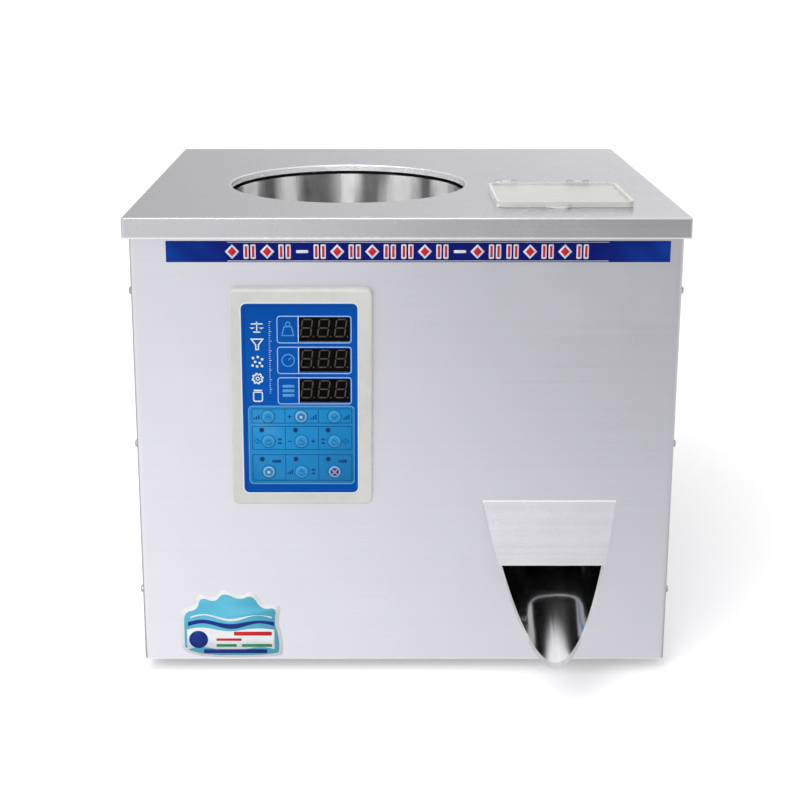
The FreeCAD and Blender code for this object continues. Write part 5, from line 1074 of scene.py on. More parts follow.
@dataclass
class ControlPanel(SubAssembly):
    """The moulded bezel, its printed film, displays, lamps, keys and board."""

    title: str = "control panel"
    window_x_mm: float = -61.0
    window_rows_mm: tuple[float, float, float] = (282.4, 258.6, 234.8)
    digit_pitch_mm: float = 12.7
    key_columns_mm: tuple[float, float, float] = (-104.0, -79.0, -54.0)
    key_rows_mm: tuple[float, float, float] = (214.5, 194.9, 170.5)
    key_radius_mm: float = 5.0
    key_dome_mm: float = 1.4
    border_centre_mm: tuple[float, float] = (-79.6, 228.0)
    border_size_mm: tuple[float, float] = (88.4, 150.4)
    border_width_mm: float = 3.4
    box_centre_x_mm: float = -68.6
    box_size_mm: tuple[float, float] = (55.0, 20.5)
    box_rule_x_mm: float = -80.4
    keypad_centre_mm: tuple[float, float] = (-78.7, 191.8)
    keypad_size_mm: tuple[float, float] = (79.4, 61.6)
    field_centre_x_mm: float = -78.5
    field_width_mm: float = 75.3
    keypad_fields_mm: tuple[tuple[float, float], ...] = ((215.0, 11.2), (197.6, 18.4), (173.8, 20.6))
    field_rules_mm: tuple[float, float] = (-91.2, -66.1)
    key_outline_mm: float = 5.25
    pictogram_x_mm: float = -111.2
    pictogram_rows_mm: tuple[float, ...] = (284.4, 271.2, 257.8, 244.4, 230.9)
    tick_x_mm: float = -102.4
    tick_ends_mm: tuple[float, float] = (288.5, 233.0)
    icon_x_mm: float = -88.2
    film: PrintedFilm = PrintedFilm("overlay_film", (0.0, 0.09, 0.44), 0.4, (0.0, 0.07, 0.37),
                                    axis=2, hold=0.5)

    def build(self) -> None:
        """Dresses the nodes, then prints the film, the digits and the keys."""
        key = MouldedPlastic("key_plastic", (0.02, 0.27, 0.6), 0.4, dust=0.0, edge_lift=1.0, specular=0.2)
        bezel = MouldedPlastic("bezel_plastic", (0.66, 0.655, 0.627), 0.4, relief_mm=0.01, dust=0.0)
        window = MouldedPlastic("display_plastic", (0.005, 0.0045, 0.0045), 0.3, dust=0.0, specular=0.0)
        lamp = MouldedPlastic("lamp_plastic", (0.003, 0.03, 0.11), 0.3, dust=0.0, specular=0.2)
        finishes: dict[str, Finish] = {
            "panel_bezel": bezel, "panel_overlay": self.film, "display_modules": window,
            "indicator_lamps": lamp, "control_board": BoardLaminate("board_laminate", BOARD_GREEN)}
        for row in ("top", "middle", "bottom"):
            for column in ("left", "centre", "right"):
                finishes[f"key_{row}_{column}"] = key
        self.dress(finishes)
        self.print_film()
        self.print_digits()
        for row, z in zip(("top", "middle", "bottom"), self.key_rows_mm):
            for column, x in zip(("left", "centre", "right"), self.key_columns_mm):
                self.print_key(f"{row}_{column}", x, z)

    def print_film(self) -> None:
        """The film's outline, its display boxes, its keypad fields and its plain pictograms."""
        low, middle, high = (Artwork(PANEL_FRONT_MM - lift) for lift in (0.03, 0.06, 0.09))
        x, z = self.border_centre_mm
        width, height, band = *self.border_size_mm, self.border_width_mm
        border = middle.line(Artwork.rounded(x, z, width - band, height - band, 3.2), band)
        self.add("panel_film_border", [border], self.film, thick_mm=0.05)
        white = [high.line(Artwork.rounded(x, z, width - 0.9, height - 0.9, 4.4), 0.9)]
        boxes: list[Form] = []
        for row in self.window_rows_mm:
            boxes.append(high.line(Artwork.rounded(self.box_centre_x_mm, row, *self.box_size_mm, 2.1), 0.7))
            white.append(self.rule(high, self.box_rule_x_mm, row, 20.0, 0.6))
        x, z = self.keypad_centre_mm
        width, height = self.keypad_size_mm
        pale = [middle.line(Artwork.rounded(x, z, width + 0.2, height + 0.2, 3.0), 0.9)]
        sky = [low.area(Artwork.rounded(x, z, width, height, 2.8))]
        dark: list[Form] = []
        for centre, tall in self.keypad_fields_mm:
            field_edge = Artwork.rounded(self.field_centre_x_mm, centre, self.field_width_mm, tall, 0.6)
            dark.append(middle.line(field_edge, 0.5))
            dark += [self.rule(middle, rule, centre, tall, 0.45) for rule in self.field_rules_mm]
        dark += self.key_labels(middle)
        dark += [middle.line(Artwork.circle(x, z, self.key_outline_mm, 48), 0.4)
                 for x in self.key_columns_mm for z in self.key_rows_mm]
        prints = {"white": (white + self.pictograms(high), WHITE_INK, INK_ROUGHNESS),
                  "pale": (pale + self.row_icons(low), PALE_INK, INK_ROUGHNESS),
                  "boxes": (boxes, BOX_INK, INK_ROUGHNESS),
                  "sky": (sky, SKY_INK, 0.32),
                  "navy": (dark, RULE_INK, INK_ROUGHNESS)}
        for name, (forms, ink, roughness) in prints.items():
            self.add(f"panel_print_{name}", forms, Ink("overlay_film", ink, roughness), thick_mm=INK_MM)

    @staticmethod
    def rule(art: Artwork, x: float, middle: float, tall: float, wide: float) -> Form:
        """An upright line on the film."""
        return art.line(Artwork.run([(x, middle + tall / 2), (x, middle - tall / 2)]), wide, False)

    def pictograms(self, art: Artwork) -> list[Form]:
        """Five plain pictograms down the left: scales, funnel, grains, cog and pouch, and a row of ticks.

        Args:
            art: the face to draw on.

        Returns:
            Their lines and areas.
        """
        x, wide = self.pictogram_x_mm, 0.95
        scales, funnel, grains, cog, pouch = self.pictogram_rows_mm
        z = scales
        made = [art.line(Artwork.run([(x - 4.4, z + 2.4), (x + 4.4, z + 2.4)]), wide, False),
                art.line(Artwork.run([(x, z + 4.2), (x, z - 3.8)]), wide, False),
                art.line(Artwork.run([(x - 2.6, z - 3.9), (x + 2.6, z - 3.9)]), wide, False)]
        pans = [[(x + side - 2.0, z - 0.4), (x + side, z - 1.7), (x + side + 2.0, z - 0.4)]
                for side in (-3.4, 3.4)]
        made += [art.area(Artwork.run(pan, True)) for pan in pans]
        z = funnel
        outline = [(x - 4.3, z + 3.9), (x + 4.3, z + 3.9), (x + 1.0, z - 0.6),
                   (x + 1.0, z - 4.2), (x - 1.0, z - 4.2), (x - 1.0, z - 0.6)]
        made.append(art.line(Artwork.run(outline[::-1], True, 1), wide))
        spread = ((-3.2, 2.6), (0.4, 3.4), (3.6, 1.6), (-1.6, -0.4),
                  (1.8, -1.2), (-3.6, -3.2), (-0.2, -3.9), (3.4, -3.6))
        made += [art.area(Artwork.circle(x + across, grains + up, 1.05, 12)) for across, up in spread]
        made += [art.line(Artwork.circle(x, cog, 3.5, 64, 8, 0.55), 1.1),
                 art.line(Artwork.circle(x, cog, 1.2, 20), 0.7)]
        made += [art.line(Artwork.rounded(x, pouch - 0.7, 6.6, 7.2, 1.2), wide),
                 art.line(Artwork.run([(x - 3.3, pouch + 4.3), (x + 3.3, pouch + 4.3)]), wide, False)]
        x = self.tick_x_mm
        for number, up in enumerate(np.linspace(*self.tick_ends_mm, 38)):
            reach = 1.9 if number % 5 == 0 else 1.0
            made.append(art.line(Artwork.run([(x, up), (x + reach, up)], each=1), 0.35, False))
        return made

    def row_icons(self, art: Artwork) -> list[Form]:
        """A plain icon beside each display: a weight, a dial and a stack.

        Args:
            art: the face to draw on.

        Returns:
            Their lines and areas.
        """
        x = self.icon_x_mm
        first, second, third = self.window_rows_mm
        weight = [(x - 4.4, first - 4.6), (x + 4.4, first - 4.6),
                  (x + 2.7, first + 2.2), (x - 2.7, first + 2.2)]
        made = [art.line(Artwork.run(weight, True, 1), 0.8),
                art.line(Artwork.circle(x, first + 4.2, 1.6, 20), 0.7),
                art.line(Artwork.circle(x, second, 4.6, 36), 0.8),
                art.line(Artwork.run([(x, second), (x + 2.3, second + 2.3)]), 0.7, False)]
        made += [art.area(Artwork.rounded(x, third + up, 9.0, 2.2, 0.6)) for up in (-3.6, 0.0, 3.6)]
        return made

    def key_labels(self, art: Artwork) -> list[Form]:
        """Plain marks beside the keys: steps, arrows, a plus and a minus.

        Args:
            art: the face to draw on.

        Returns:
            Their lines and areas.
        """
        left, middle, right = self.key_columns_mm
        top, centre, bottom = self.key_rows_mm
        steps = ((left - 10.4, top), (middle + 7.6, top), (middle - 10.6, bottom + 0.2), (right + 7.4, top))
        made = [art.area(Artwork.rounded(x + step * 1.7, z - 1.6 + step * 0.6, 1.1, 1.6 + step * 1.2, 0.2))
                for x, z in steps for step in range(3)]
        for x, z, way in ((left - 8.8, centre, -1), (right + 8.8, centre, 1)):
            tip, neck, tail = x + way * 2.3, x - way * 0.6, x - way * 2.3
            arrow = [(tip, z), (neck, z + 2.1), (neck, z + 0.8), (tail, z + 0.8),
                     (tail, z - 0.8), (neck, z - 0.8), (neck, z - 2.1)]
            made.append(art.line(Artwork.run(arrow[::way], True, 1), 0.4))
        for x, z in ((left + 8.6, centre), (right - 8.6, centre), (middle + 8.8, bottom)):
            made += [art.area(Artwork.rounded(x, z + up, 2.6, 1.5, 0.2)) for up in (-1.5, 1.5)]
        signs = ((middle - 8.8, top, True), (middle - 8.8, centre, False), (middle + 8.8, centre, True))
        for x, z, plus in signs:
            made.append(art.area(Artwork.rounded(x, z, 3.0, 0.8, 0.1)))
            if plus:
                made.append(art.area(Artwork.rounded(x, z, 0.8, 3.0, 0.1)))
        made += [art.area(Artwork.rounded(left + 6.0, bottom + 8.4, 6.6, 2.4, 0.4)),
                 art.area(Artwork.rounded(right + 6.2, bottom + 8.4, 6.6, 2.4, 0.4))]
        return made

    def print_digits(self) -> None:
        """The unlit figures: seven six-sided segments and a point for each place, leaning to the right.

        A segment is a bar with pointed ends. Its points are laid level or upright, moved
        to its place, and then leaned by adding a part of their height to their distance.
        """
        art = Artwork(PANEL_FRONT_MM + 0.8 - 0.04)
        wide, tall, bar, lean, rise = 7.4, 13.2, 1.0, 0.13, 1.0
        level = np.array([[-1, 0], [-0.82, -1], [0.82, -1], [1, 0], [0.82, 1], [-0.82, 1]])
        level = level * np.array([wide / 2 - 0.35, bar / 2])
        upright = (level * np.array([tall / (2 * wide), 1.0]))[:, ::-1][::-1]
        places = [(level, 0.0, up) for up in (-tall / 2, 0.0, tall / 2)]
        places += [(upright, side, up) for side in (-wide / 2, wide / 2) for up in (-tall / 4, tall / 4)]
        lit: list[Form] = []
        for row in self.window_rows_mm:
            for digit in (-1, 0, 1):
                x = self.window_x_mm + digit * self.digit_pitch_mm - 0.6
                for shape, across, up in places:
                    points = shape + np.array([across, up])
                    points = np.stack([points[:, 0] + lean * points[:, 1], points[:, 1]], 1)
                    lit.append(art.area(points + np.array([x, row + rise])))
                lit.append(art.area(Artwork.circle(x + wide / 2 + 1.4, row + rise - tall / 2, 0.6, 12)))
        self.add("display_segments", lit, Ink("display_plastic", (0.10, 0.075, 0.06), 0.4), thick_mm=0.02)

    def print_key(self, name: str, x: float, z: float) -> None:
        """One key's printed ring and sign, laid on its dome so that they move with it.

        Args:
            name: the key's row and column.
            x: its centre across.
            z: its centre up.
        """
        low = Artwork(PANEL_FRONT_MM - 0.03, (x, z, self.key_radius_mm, self.key_dome_mm))
        high = Artwork(PANEL_FRONT_MM - 0.06, low.dome_mm)
        body = f"body_key_{name}"
        dark: list[Form] = []
        marked = name in ("top_centre", "bottom_left", "bottom_right")
        ring = Ink("key_plastic", (0.42, 0.55, 0.62) if marked else (0.07, 0.42, 0.66), 0.3)
        band = low.line(Artwork.circle(x, z, 3.7, 48), 0.8 if marked else 0.6)
        self.add(f"key_ring_{name}", [band], ring, body, INK_MM)
        if name in ("top_centre", "bottom_left"):
            dark.append(low.line(Artwork.circle(x, z, 2.45, 64, 8, 0.3), 1.9))
            dot = [high.disc(x, z, 1.2)]
            self.add(f"key_dot_{name}", dot, Ink("key_plastic", (0.5, 0.62, 0.75), 0.3), body, INK_MM)
        elif name == "bottom_right":
            dark.append(low.disc(x, z, 3.4))
            cross = [high.line(Artwork.run([(x - 2.0, z - 2.0 * way), (x + 2.0, z + 2.0 * way)]), 0.75, False)
                     for way in (-1, 1)]
            self.add(f"key_cross_{name}", cross, Ink("key_plastic", (0.85, 0.3, 0.32), 0.3), body, INK_MM)
        elif name.startswith("top"):
            way = 1 if name.endswith("left") else -1
            hook = [(x - 1.9, z - 0.9 * way), (x, z + 1.3 * way), (x + 1.9, z - 0.9 * way)]
            dark.append(low.line(Artwork.run(hook), 0.6, False))
        else:
            angle = np.linspace(1.15, 1.85, 12) * np.pi
            arc = np.stack([x + 3.1 * np.cos(angle), z + 0.4 + 3.1 * np.sin(angle)], 1)
            hook = [(x - 1.4, z + 0.2), (x - 0.2, z + 1.7), (x + 1.3, z - 0.2)]
            dark += [low.line(arc, 0.5, False), low.line(Artwork.run(hook), 0.45, False)]
        self.add(f"key_print_{name}", dark, Ink("key_plastic", (0.0, 0.085, 0.30), 0.32), body, INK_MM)


@dataclass
class FrontSticker(SubAssembly):
    """The die-cut sticker at the lower left: waves and coloured bars on white."""

    title: str = "sticker"
    left_mm: float = -176.6
    low_mm: float = 11.2
    roughness: float = 0.3
    vinyl_mm: float = 0.06
    layer_lifts_mm: tuple[float, ...] = (0.08, 0.11, 0.14, 0.17)
    outline_mm: tuple[tuple[float, float], ...] = (
        (1, 0), (79, 0), (81, 6), (80, 20), (77, 30), (80, 47), (66, 44), (58, 58),
        (47, 52), (34, 60), (27, 50), (14, 56), (12, 44), (0, 42), (0, 22))
    inset_mm: tuple[tuple[float, float], ...] = (
        (3, 2), (76, 2), (78, 8), (77, 20), (74, 30), (76, 43), (64, 41), (57, 54),
        (47, 49), (34, 56), (28, 47), (16, 52), (14, 41), (3, 39), (3, 22))

    def shape(self, art: Artwork, points: tuple[tuple[float, float], ...]) -> Form:
        """A soft-cornered area from points measured from the sticker's lower left corner."""
        placed = [(self.left_mm + x, self.low_mm + z) for x, z in points]
        return art.area(Artwork.softened(placed, 2))

    def bar(self, art: Artwork, x: float, z: float, width: float, height: float, radius: float) -> Form:
        """A bar with round corners, its middle measured from the sticker's lower left corner."""
        return art.area(Artwork.rounded(self.left_mm + x, self.low_mm + z, width, height, radius))

    def wave(self, art: Artwork, low: float, high: float, swing: float, ends: tuple[float, float]) -> Form:
        """A band between two sine curves of one and a half waves, as a grid of two rows.

        Args:
            art: the face to draw on.
            low: the lower edge above the sticker's corner.
            high: the upper edge above it.
            swing: how far the waves go up and down.
            ends: where the band starts and ends, across from the corner.

        Returns:
            The band.
        """
        along = np.linspace(0.0, 1.0, 40)
        x = self.left_mm + ends[0] + along * (ends[1] - ends[0])
        rise = swing * np.sin(along * 3 * np.pi)
        upper = np.stack([x, self.low_mm + high + rise * (1 - 0.6 * along)], 1)
        lower = np.stack([x, self.low_mm + low + rise], 1)
        return Form.grid(art.lift(np.stack([upper, lower])))

    def build(self) -> None:
        """Adds the vinyl and one print for each colour."""
        base, first, second, third = (Artwork(CASE_FRONT_MM - lift) for lift in self.layer_lifts_mm)
        disc = Artwork.circle(self.left_mm + 14.0, self.low_mm + 15.5, 7.5, 40)
        prints: dict[str, tuple[list[Form], Colour]] = {
            "vinyl": ([self.shape(base, self.outline_mm)], (0.86, 0.87, 0.88)),
            "sky": ([self.shape(first, self.inset_mm)], (0.11, 0.50, 0.68)),
            "white": ([self.wave(second, 7.0, 24.0, 2.0, (5, 74)),
                       self.wave(second, 33.5, 35.0, 2.6, (8, 72))], (0.84, 0.86, 0.88)),
            "navy": ([self.bar(third, 43.0, 5.4, 50.0, 3.4, 0.8), third.area(disc),
                      self.wave(third, 27.0, 30.5, 2.4, (6, 74))], (0.01, 0.03, 0.24)),
            "red": ([self.bar(third, 57.0, 20.6, 30.0, 3.4, 0.8),
                     self.bar(third, 38.0, 15.4, 20.0, 2.2, 0.5)], (0.68, 0.02, 0.03)),
            "green": ([self.bar(third, 60.0, 10.4, 24.0, 2.4, 0.6),
                       self.bar(third, 36.0, 10.4, 16.0, 2.4, 0.6)], (0.02, 0.28, 0.10))}
        for name, (forms, colour) in prints.items():
            thick = self.vinyl_mm if name == "vinyl" else INK_MM
            self.add(f"sticker_{name}", forms, Ink("banner_film", colour, self.roughness), thick_mm=thick)


@dataclass
class ClearLid(SubAssembly):
    """The clear lid over the weighing hopper, with its brackets and pins."""

    title: str = "lid"

    def build(self) -> None:
        """Dresses the lid and its hinges."""
        hinge = SheetSteel("hinge_steel", (0.40, 0.40, 0.41), 0.35, lay=Lay.EVEN, edge_mm=0.6, edge_lift=1.1)
        self.dress({"access_lid": ClearSheet("clear_plastic", (0.76, 0.765, 0.74), 0.15),
                    "lid_hinge_brackets": hinge, "lid_hinge_pins": hinge})


@dataclass
class HopperBowl(SubAssembly):
    """The polished bowl, its spiral track, spout, clamp bolt and mounting plate."""

    title: str = "bowl"

    def build(self) -> None:
        """Dresses the bowl in polished steel whose streaks are partly painted reflection."""
        # painted reflection: the wall's strong dark and bright streaks, and the track's weaker ones, stand in
        # for reflected studio light
        wall = SpunSteel("polished_steel", (0.64, 0.64, 0.65), 0.24, contrast=0.76, metallic=0.5, start=2.6)
        track = SpunSteel("polished_steel", (0.68, 0.68, 0.69), 0.3, contrast=0.2, fineness=5.0, metallic=0.7)
        self.dress({
            "bowl_shell": wall, "spiral_track": track,
            "bowl_outlet_spout": SheetSteel("polished_steel", POLISHED, 0.18, edge_mm=1.0),
            "bowl_clamp_bolt": SheetSteel("polished_steel", (0.6, 0.6, 0.61), 0.22, Lay.EVEN, edge_mm=1.5),
            "bowl_mount_plate": CastMetal("aluminium_casting", (0.55, 0.56, 0.57), 0.42)})


@dataclass
class FeederDrive(SubAssembly):
    """The drive under the bowl: base, springs, clamps, magnet and isolators."""

    title: str = "drive"
    turns: int = 18
    corner_mm: float = 1.4
    core_gap_mm: float = 0.05
    wall_mm: float = 10.4
    scallop_mm: float = 0.8
    end_gap_mm: float = 0.1
    winding: EnamelWire = EnamelWire("coil_winding", COPPER)

    def build(self) -> None:
        """Dresses the drive and winds the coil."""
        screw = SheetSteel("screw_steel", SCREW, 0.3, lay=Lay.EVEN, contrast=0.1)
        iron = SheetSteel("magnet_iron", (0.23, 0.23, 0.25), 0.45, lay=Lay.UPRIGHT, contrast=0.3, dust=0.25)
        spring = SheetSteel("spring_steel", (0.33, 0.34, 0.38), 0.32, lay=Lay.UPRIGHT, contrast=0.12)
        rubber = MouldedPlastic("black_rubber", (0.02, 0.02, 0.022), 0.7, 700.0, 0.08, dust=0.3)
        self.dress({
            "leaf_springs": spring, "lower_spring_clamps": screw, "upper_spring_clamps": screw,
            "drive_base": CastMetal("painted_casting", (0.06, 0.11, 0.16), 0.5, metallic=0.0, edge_lift=2.4),
            "isolation_mounts": rubber,
            "feeder_bridge": SheetSteel("galvanised_steel", GALVANISED, 0.42, contrast=0.15, dust=0.4),
            "armature": iron, "magnet_core": iron, "magnet_coil": self.winding})
        self.wind_coil()

    def wind_coil(self) -> None:
        """Replaces the plain coil with one that shows its turns.

        A section of a straight inner side and a scalloped outer side is carried round a
        rounded rectangle: a point is the path's point plus its outward normal times the
        section's reach, and its height is the section's. The scallop is the absolute
        sine of the height over one turn.
        """
        low, high = (np.array(corner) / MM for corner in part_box("magnet_coil"))
        middle = (low + high) / 2
        across, deep = (high - low)[:2] - 2 * self.wall_mm
        path = Artwork.rounded(0.0, 0.0, across, deep, self.corner_mm)
        angle = np.tile(np.linspace(0.0, np.pi / 2, 6), 4) + np.repeat(np.arange(4), 6) * np.pi / 2
        outward = np.stack([np.cos(angle), np.sin(angle)], 1)
        along = np.linspace(0.0, 1.0, self.turns * 6 + 1)
        rise = low[2] + self.end_gap_mm + along * (high[2] - low[2] - 2 * self.end_gap_mm)
        valley = self.wall_mm - self.scallop_mm - self.end_gap_mm
        reach = valley + self.scallop_mm * np.abs(np.sin(along * self.turns * np.pi))
        inner = np.stack([np.full(2, self.core_gap_mm), rise[[-1, 0]]], 1)
        section = np.concatenate([np.stack([reach, rise], 1), inner])
        flat = path[:, None, :] + outward[:, None, :] * section[None, :, :1]
        height = np.broadcast_to(section[None, :, 1:], flat.shape[:2] + (1,))
        points = np.concatenate([flat + middle[:2], height], -1)
        coil = self.add("coil_turns", [Form.grid(points, wrap_u=True, wrap_v=True)], self.winding, smooth=True)
        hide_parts("magnet_coil")


@dataclass
class WeighingUnit(SubAssembly):
    """The weighing hopper with its gate, linkage, solenoid and load cell."""

    title: str = "weighing"

    def build(self) -> None:
        """Dresses the weighing parts."""
        steel = SheetSteel("polished_steel", POLISHED, 0.2, lay=Lay.UPRIGHT)
        zinc = SheetSteel("galvanised_steel", GALVANISED, 0.4, lay=Lay.UPRIGHT, contrast=0.12)
        self.dress({
            "weigh_hopper": steel, "hopper_gate": steel,
            "gate_pivot_pin": SheetSteel("screw_steel", SCREW, 0.25, lay=Lay.EVEN),
            "solenoid_plunger": SheetSteel("screw_steel", (0.48, 0.48, 0.5), 0.25, lay=Lay.DEEP),
            "gate_solenoid": CastMetal("solenoid_frame", (0.40, 0.37, 0.27), 0.38, edge_lift=1.3),
            "gate_return_spring": SheetSteel("spring_steel", (0.4, 0.4, 0.42), 0.3, lay=Lay.EVEN),
            "hopper_hanger": zinc, "load_cell_stand": zinc,
            "load_cell": SheetSteel("cell_aluminium", (0.68, 0.69, 0.71), 0.3, lay=Lay.DEEP, contrast=0.08)})


@dataclass
class DischargeChute(SubAssembly):
    """The scoop in front, its flat cover and the slide behind the panel."""

    title: str = "chute"

    def build(self) -> None:
        """Dresses the chute in mirror steel whose streaks are partly drawn lines and partly painted reflection,
        and its cover in brushed sheet with a painted highlight round its border.
        """
        # painted reflection in part: strong streaks down the scoop's slope
        scoop = SheetSteel("polished_steel", POLISHED, 0.11, lay=Lay.DRAWN_AND_REFLECTED, contrast=0.3, edge_mm=0.8, dust=0.0)
        # painted highlight: a white line round the cover's border, whiter where its metallic is lowered
        cover = SheetSteel("case_steel", (0.59, 0.585, 0.62), 0.26, contrast=0.015, edge_mm=1.3, edge_lift=1.65,
                           dust=0.0, smudge=0.05, relief=0.004, edge_metallic=0.1, edge_evenness=1.0)
        slide = SheetSteel("polished_steel", (0.55, 0.55, 0.57), 0.2, lay=Lay.UPRIGHT, dust=0.2)
        self.dress({"discharge_chute": scoop, "chute_cover": cover, "inner_slide": slide})


@dataclass
class RearFittings(SubAssembly):
    """The inlet, switch, fuse and socket at the back, and the parts they feed."""

    title: str = "rear fittings"

    def build(self) -> None:
        """Dresses the fittings, the transformer and the driver board."""
        black = MouldedPlastic("black_plastic", (0.018, 0.018, 0.02), 0.42)
        self.dress({
            "power_inlet": black, "power_switch_housing": black, "fuse_holder": black,
            "power_rocker": MouldedPlastic("rocker_plastic", (0.42, 0.012, 0.012), 0.3, gloss=0.5),
            "pedal_socket": SheetSteel("socket_nickel", (0.58, 0.56, 0.52), 0.25, lay=Lay.EVEN),
            "transformer": CastMetal("magnet_iron", (0.10, 0.10, 0.11), 0.5, edge_lift=2.0),
            "driver_board": BoardLaminate("board_laminate", BOARD_GREEN)})


@dataclass(frozen=True)
class Slope:
    """A glow that runs evenly between two places along one axis, in metres, and is held past them."""

    axis: int
    start: float
    end: float
    at_start: float
    at_end: float


@dataclass(frozen=True)
class Card:
    """A sheet of the studio that only polished metal sees; its glow is a sum of slopes."""

    name: str
    corners: tuple[Point, ...]
    slopes: tuple[Slope, ...]


def lying(left: float, right: float, front: float, back: float, height: float) -> tuple[Point, ...]:
    """The corners of a level rectangle, in metres."""
    return (left, front, height), (right, front, height), (right, back, height), (left, back, height)


CARDS = (
    Card("card_front", lying(-3.0, 3.0, -5.0, -0.156, 0.002),
         (Slope(0, -0.30, 0.35, 1.06, 0.58), Slope(1, -1.6, -0.2, -0.15, 0.13))),
    Card("card_back", ((-2.5, 1.2, 0.0), (-2.5, 1.2, 2.0), (2.5, 1.2, 2.0), (2.5, 1.2, 0.0)),
         (Slope(0, -0.45, 0.55, 0.60, 0.90),)),
    Card("card_rear", lying(-5.0, 5.0, 0.152, 5.0, 0.001),
         (Slope(0, -0.4, 0.4, 0.42, 0.80), Slope(1, 0.2, 1.6, -0.10, 0.12))),
    Card("card_right", lying(0.212, 5.0, -0.156, 0.152, 0.001), (Slope(0, 0.25, 1.4, 0.45, 0.85),)),
    Card("card_left", lying(-0.212, -5.0, -0.156, 0.152, 0.001), (Slope(0, -1.4, -0.25, 0.85, 0.45),)),
    Card("card_chute", lying(-0.4, 0.6, -0.36, -0.162, 0.40), (Slope(1, -0.288, -0.264, 1.30, 0.0),)))


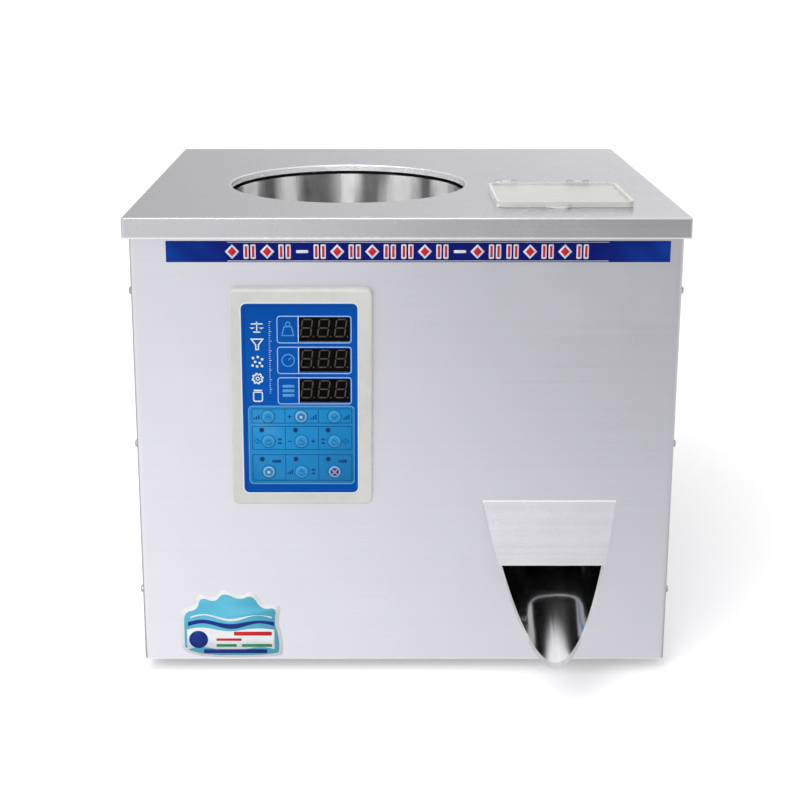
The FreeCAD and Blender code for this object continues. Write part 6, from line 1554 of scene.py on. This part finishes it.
@dataclass
class Studio:
    """A plain floor, soft lamps, reflecting cards and the camera of the photograph."""

    frame_px: float = 797.0
    focal_px: float = 1400.8
    centre_px: tuple[float, float] = (373.1, 279.0)
    place: Point = (-0.0248, -1.1621, 0.5569)
    pitch_deg: float = 13.22
    sensor_mm: float = 36.0
    floor_half: float = 30.0
    floor_colour: Colour = (0.84, 0.84, 0.85)
    floor_glow: float = 0.36
    floor_gloss_glow: float = 0.06
    fill: float = 0.55
    horizon_glow: float = 0.68
    overhead_glow: float = 0.86
    compass_swing: tuple[float, float] = (0.12, -0.16)
    card_tint: Colour = (0.985, 0.985, 1.0)

    def build(self) -> None:
        """Sets the view, the floor, the world, the lamps, the cards and the camera."""
        scene = bpy.context.scene
        scene.view_settings.view_transform = "Standard"
        self.floor()
        self.world()
        self.lamps()
        for card in CARDS:
            self.card(card)
        self.camera()

    def sheet(self, name: str, corners: tuple[Point, ...]) -> bpy.types.Object:
        """A flat four-cornered sheet of the studio.

        Args:
            name: the sheet's name.
            corners: its corners in metres.

        Returns:
            The sheet.
        """
        form = Form(np.array(corners) / MM, np.arange(4), np.array([4]))
        piece = bpy.data.objects.new(name, form.mesh(name))
        bpy.context.scene.collection.objects.link(piece)
        return piece

    def floor(self) -> None:
        """A matt pale floor that shows white to the camera, and keeps the shadows."""
        half = self.floor_half
        piece = self.sheet("floor", lying(-half, half, -half, half, 0.0))
        material = bpy.data.materials.new("floor")
        graph = blank_graph(material)
        seen, glossy = graph.watchers()
        glow = graph.maths("MULTIPLY", seen, self.floor_glow)
        glow = graph.maths("ADD", glow, graph.maths("MULTIPLY", glossy, self.floor_gloss_glow))
        sockets = {"Base Color": shade(self.floor_colour, 1.0), "Roughness": 0.9, "Specular IOR Level": 0.0,
                   "Emission Color": (1.0, 1.0, 1.0, 1.0), "Emission Strength": glow}
        shader = graph.put("ShaderNodeBsdfPrincipled", sockets)
        graph.put("ShaderNodeOutputMaterial", {0: shader.outputs[0]})
        piece.data.materials.append(material)

    def world(self) -> None:
        """A white surround for the camera and clear plastic, and a softer one for the rest.

        Polished metal sees it brighten from the horizon up and swing twice round the
        compass between two greys, as a studio with two wide soft boxes looks.
        """
        world = bpy.data.worlds.new("studio")
        bpy.context.scene.world = world
        graph = blank_graph(world)
        seen, glossy = graph.watchers()
        way = graph.parts(graph.put("ShaderNodeTexCoord").outputs["Generated"])
        compass = graph.maths("MULTIPLY", graph.maths("ARCTAN2", way[1], way[0]), 2.0)
        swing = graph.remap(graph.maths("COSINE", compass), -1.0, 1.0, *self.compass_swing)
        rise = graph.remap(way[2], -0.05, 0.7, self.horizon_glow, self.overhead_glow)
        mirrored = graph.maths("MULTIPLY", glossy, graph.maths("ADD", rise, swing))
        strength = graph.maths("MAXIMUM", graph.maths("MAXIMUM", seen, mirrored), self.fill)
        light = graph.put("ShaderNodeBackground", {"Color": (1.0, 1.0, 1.0, 1.0), "Strength": strength})
        graph.put("ShaderNodeOutputWorld", {0: light.outputs[0]})

    def lamp(self, name: str, kind: str, energy: float, place: Point, turn_deg: Point,
             **settings: float | str) -> None:
        """Hangs one lamp.

        Args:
            name: the lamp's name.
            kind: SUN, AREA or SPOT.
            energy: its strength.
            place: where it hangs, in metres.
            turn_deg: its turn about X, Y and Z in degrees.
            settings: the lamp's own settings.
        """
        light = bpy.data.lights.new(name, kind)
        light.energy = energy
        for setting, value in settings.items():
            setattr(light, setting, value)
        lamp = bpy.data.objects.new(name, light)
        lamp.location = place
        lamp.rotation_euler = tuple(math.radians(turn) for turn in turn_deg)
        bpy.context.scene.collection.objects.link(lamp)

    def lamps(self) -> None:
        """A soft sun from the upper left, a wide soft lamp over the top and a narrow one into the bowl."""
        self.lamp("key", "SUN", 1.25, (0.0, 0.0, 0.0), (48.0, 0.0, -32.0), angle=math.radians(35.0))
        self.lamp("top", "AREA", 9.0, (-0.5, -0.3, 1.9), (0.0, 0.0, 0.0),
                  shape="RECTANGLE", size=1.6, size_y=0.7)
        self.lamp("hopper", "SPOT", 42.0, (-0.05, -0.95, 0.98), (59.5, 0.0, 0.0),
                  spot_size=math.radians(11.0), spot_blend=0.5, shadow_soft_size=0.12)

    def card(self, card: Card) -> None:
        """Adds one card of the studio, hidden from all but polished metal.

        Args:
            card: the card's name, corners and slopes.
        """
        piece = self.sheet(card.name, card.corners)
        material = bpy.data.materials.new(card.name)
        graph = blank_graph(material)
        place = graph.parts(graph.object_place())
        glow = graph.maths("ADD", 0.0, 0.0)
        for slope in card.slopes:
            rise = graph.remap(place[slope.axis], slope.start, slope.end, slope.at_start, slope.at_end)
            glow = graph.maths("ADD", glow, rise)
        light = graph.put("ShaderNodeEmission", {"Color": shade(self.card_tint, 1.0), "Strength": glow})
        graph.put("ShaderNodeOutputMaterial", {0: light.outputs[0]})
        piece.data.materials.append(material)
        piece.visible_camera = False
        piece.visible_diffuse = False
        piece.visible_transmission = False
        piece.visible_shadow = False

    def camera(self) -> None:
        """The photograph's camera: its focal length and centre in picture points give lens and shift."""
        data = bpy.data.cameras.new("camera")
        data.sensor_width = self.sensor_mm
        data.lens = self.focal_px / self.frame_px * self.sensor_mm
        data.shift_x = 0.5 - self.centre_px[0] / self.frame_px
        data.shift_y = self.centre_px[1] / self.frame_px - 0.5
        camera = bpy.data.objects.new("camera", data)
        camera.location = self.place
        camera.rotation_euler = (math.radians(90.0 - self.pitch_deg), 0.0, 0.0)
        bpy.context.scene.collection.objects.link(camera)
        bpy.context.scene.camera = camera


def main() -> None:
    """Builds every sub-assembly and the studio."""
    logging.basicConfig(level=logging.INFO, format="%(message)s")
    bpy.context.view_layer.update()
    groups: list[SubAssembly] = [
        CaseShell(), TitleBanner(), ControlPanel(), FrontSticker(), ClearLid(), HopperBowl(),
        FeederDrive(), WeighingUnit(), DischargeChute(), RearFittings()]
    for group in groups:
        group.build()
    Studio().build()


if __name__ == "__main__":
    main()
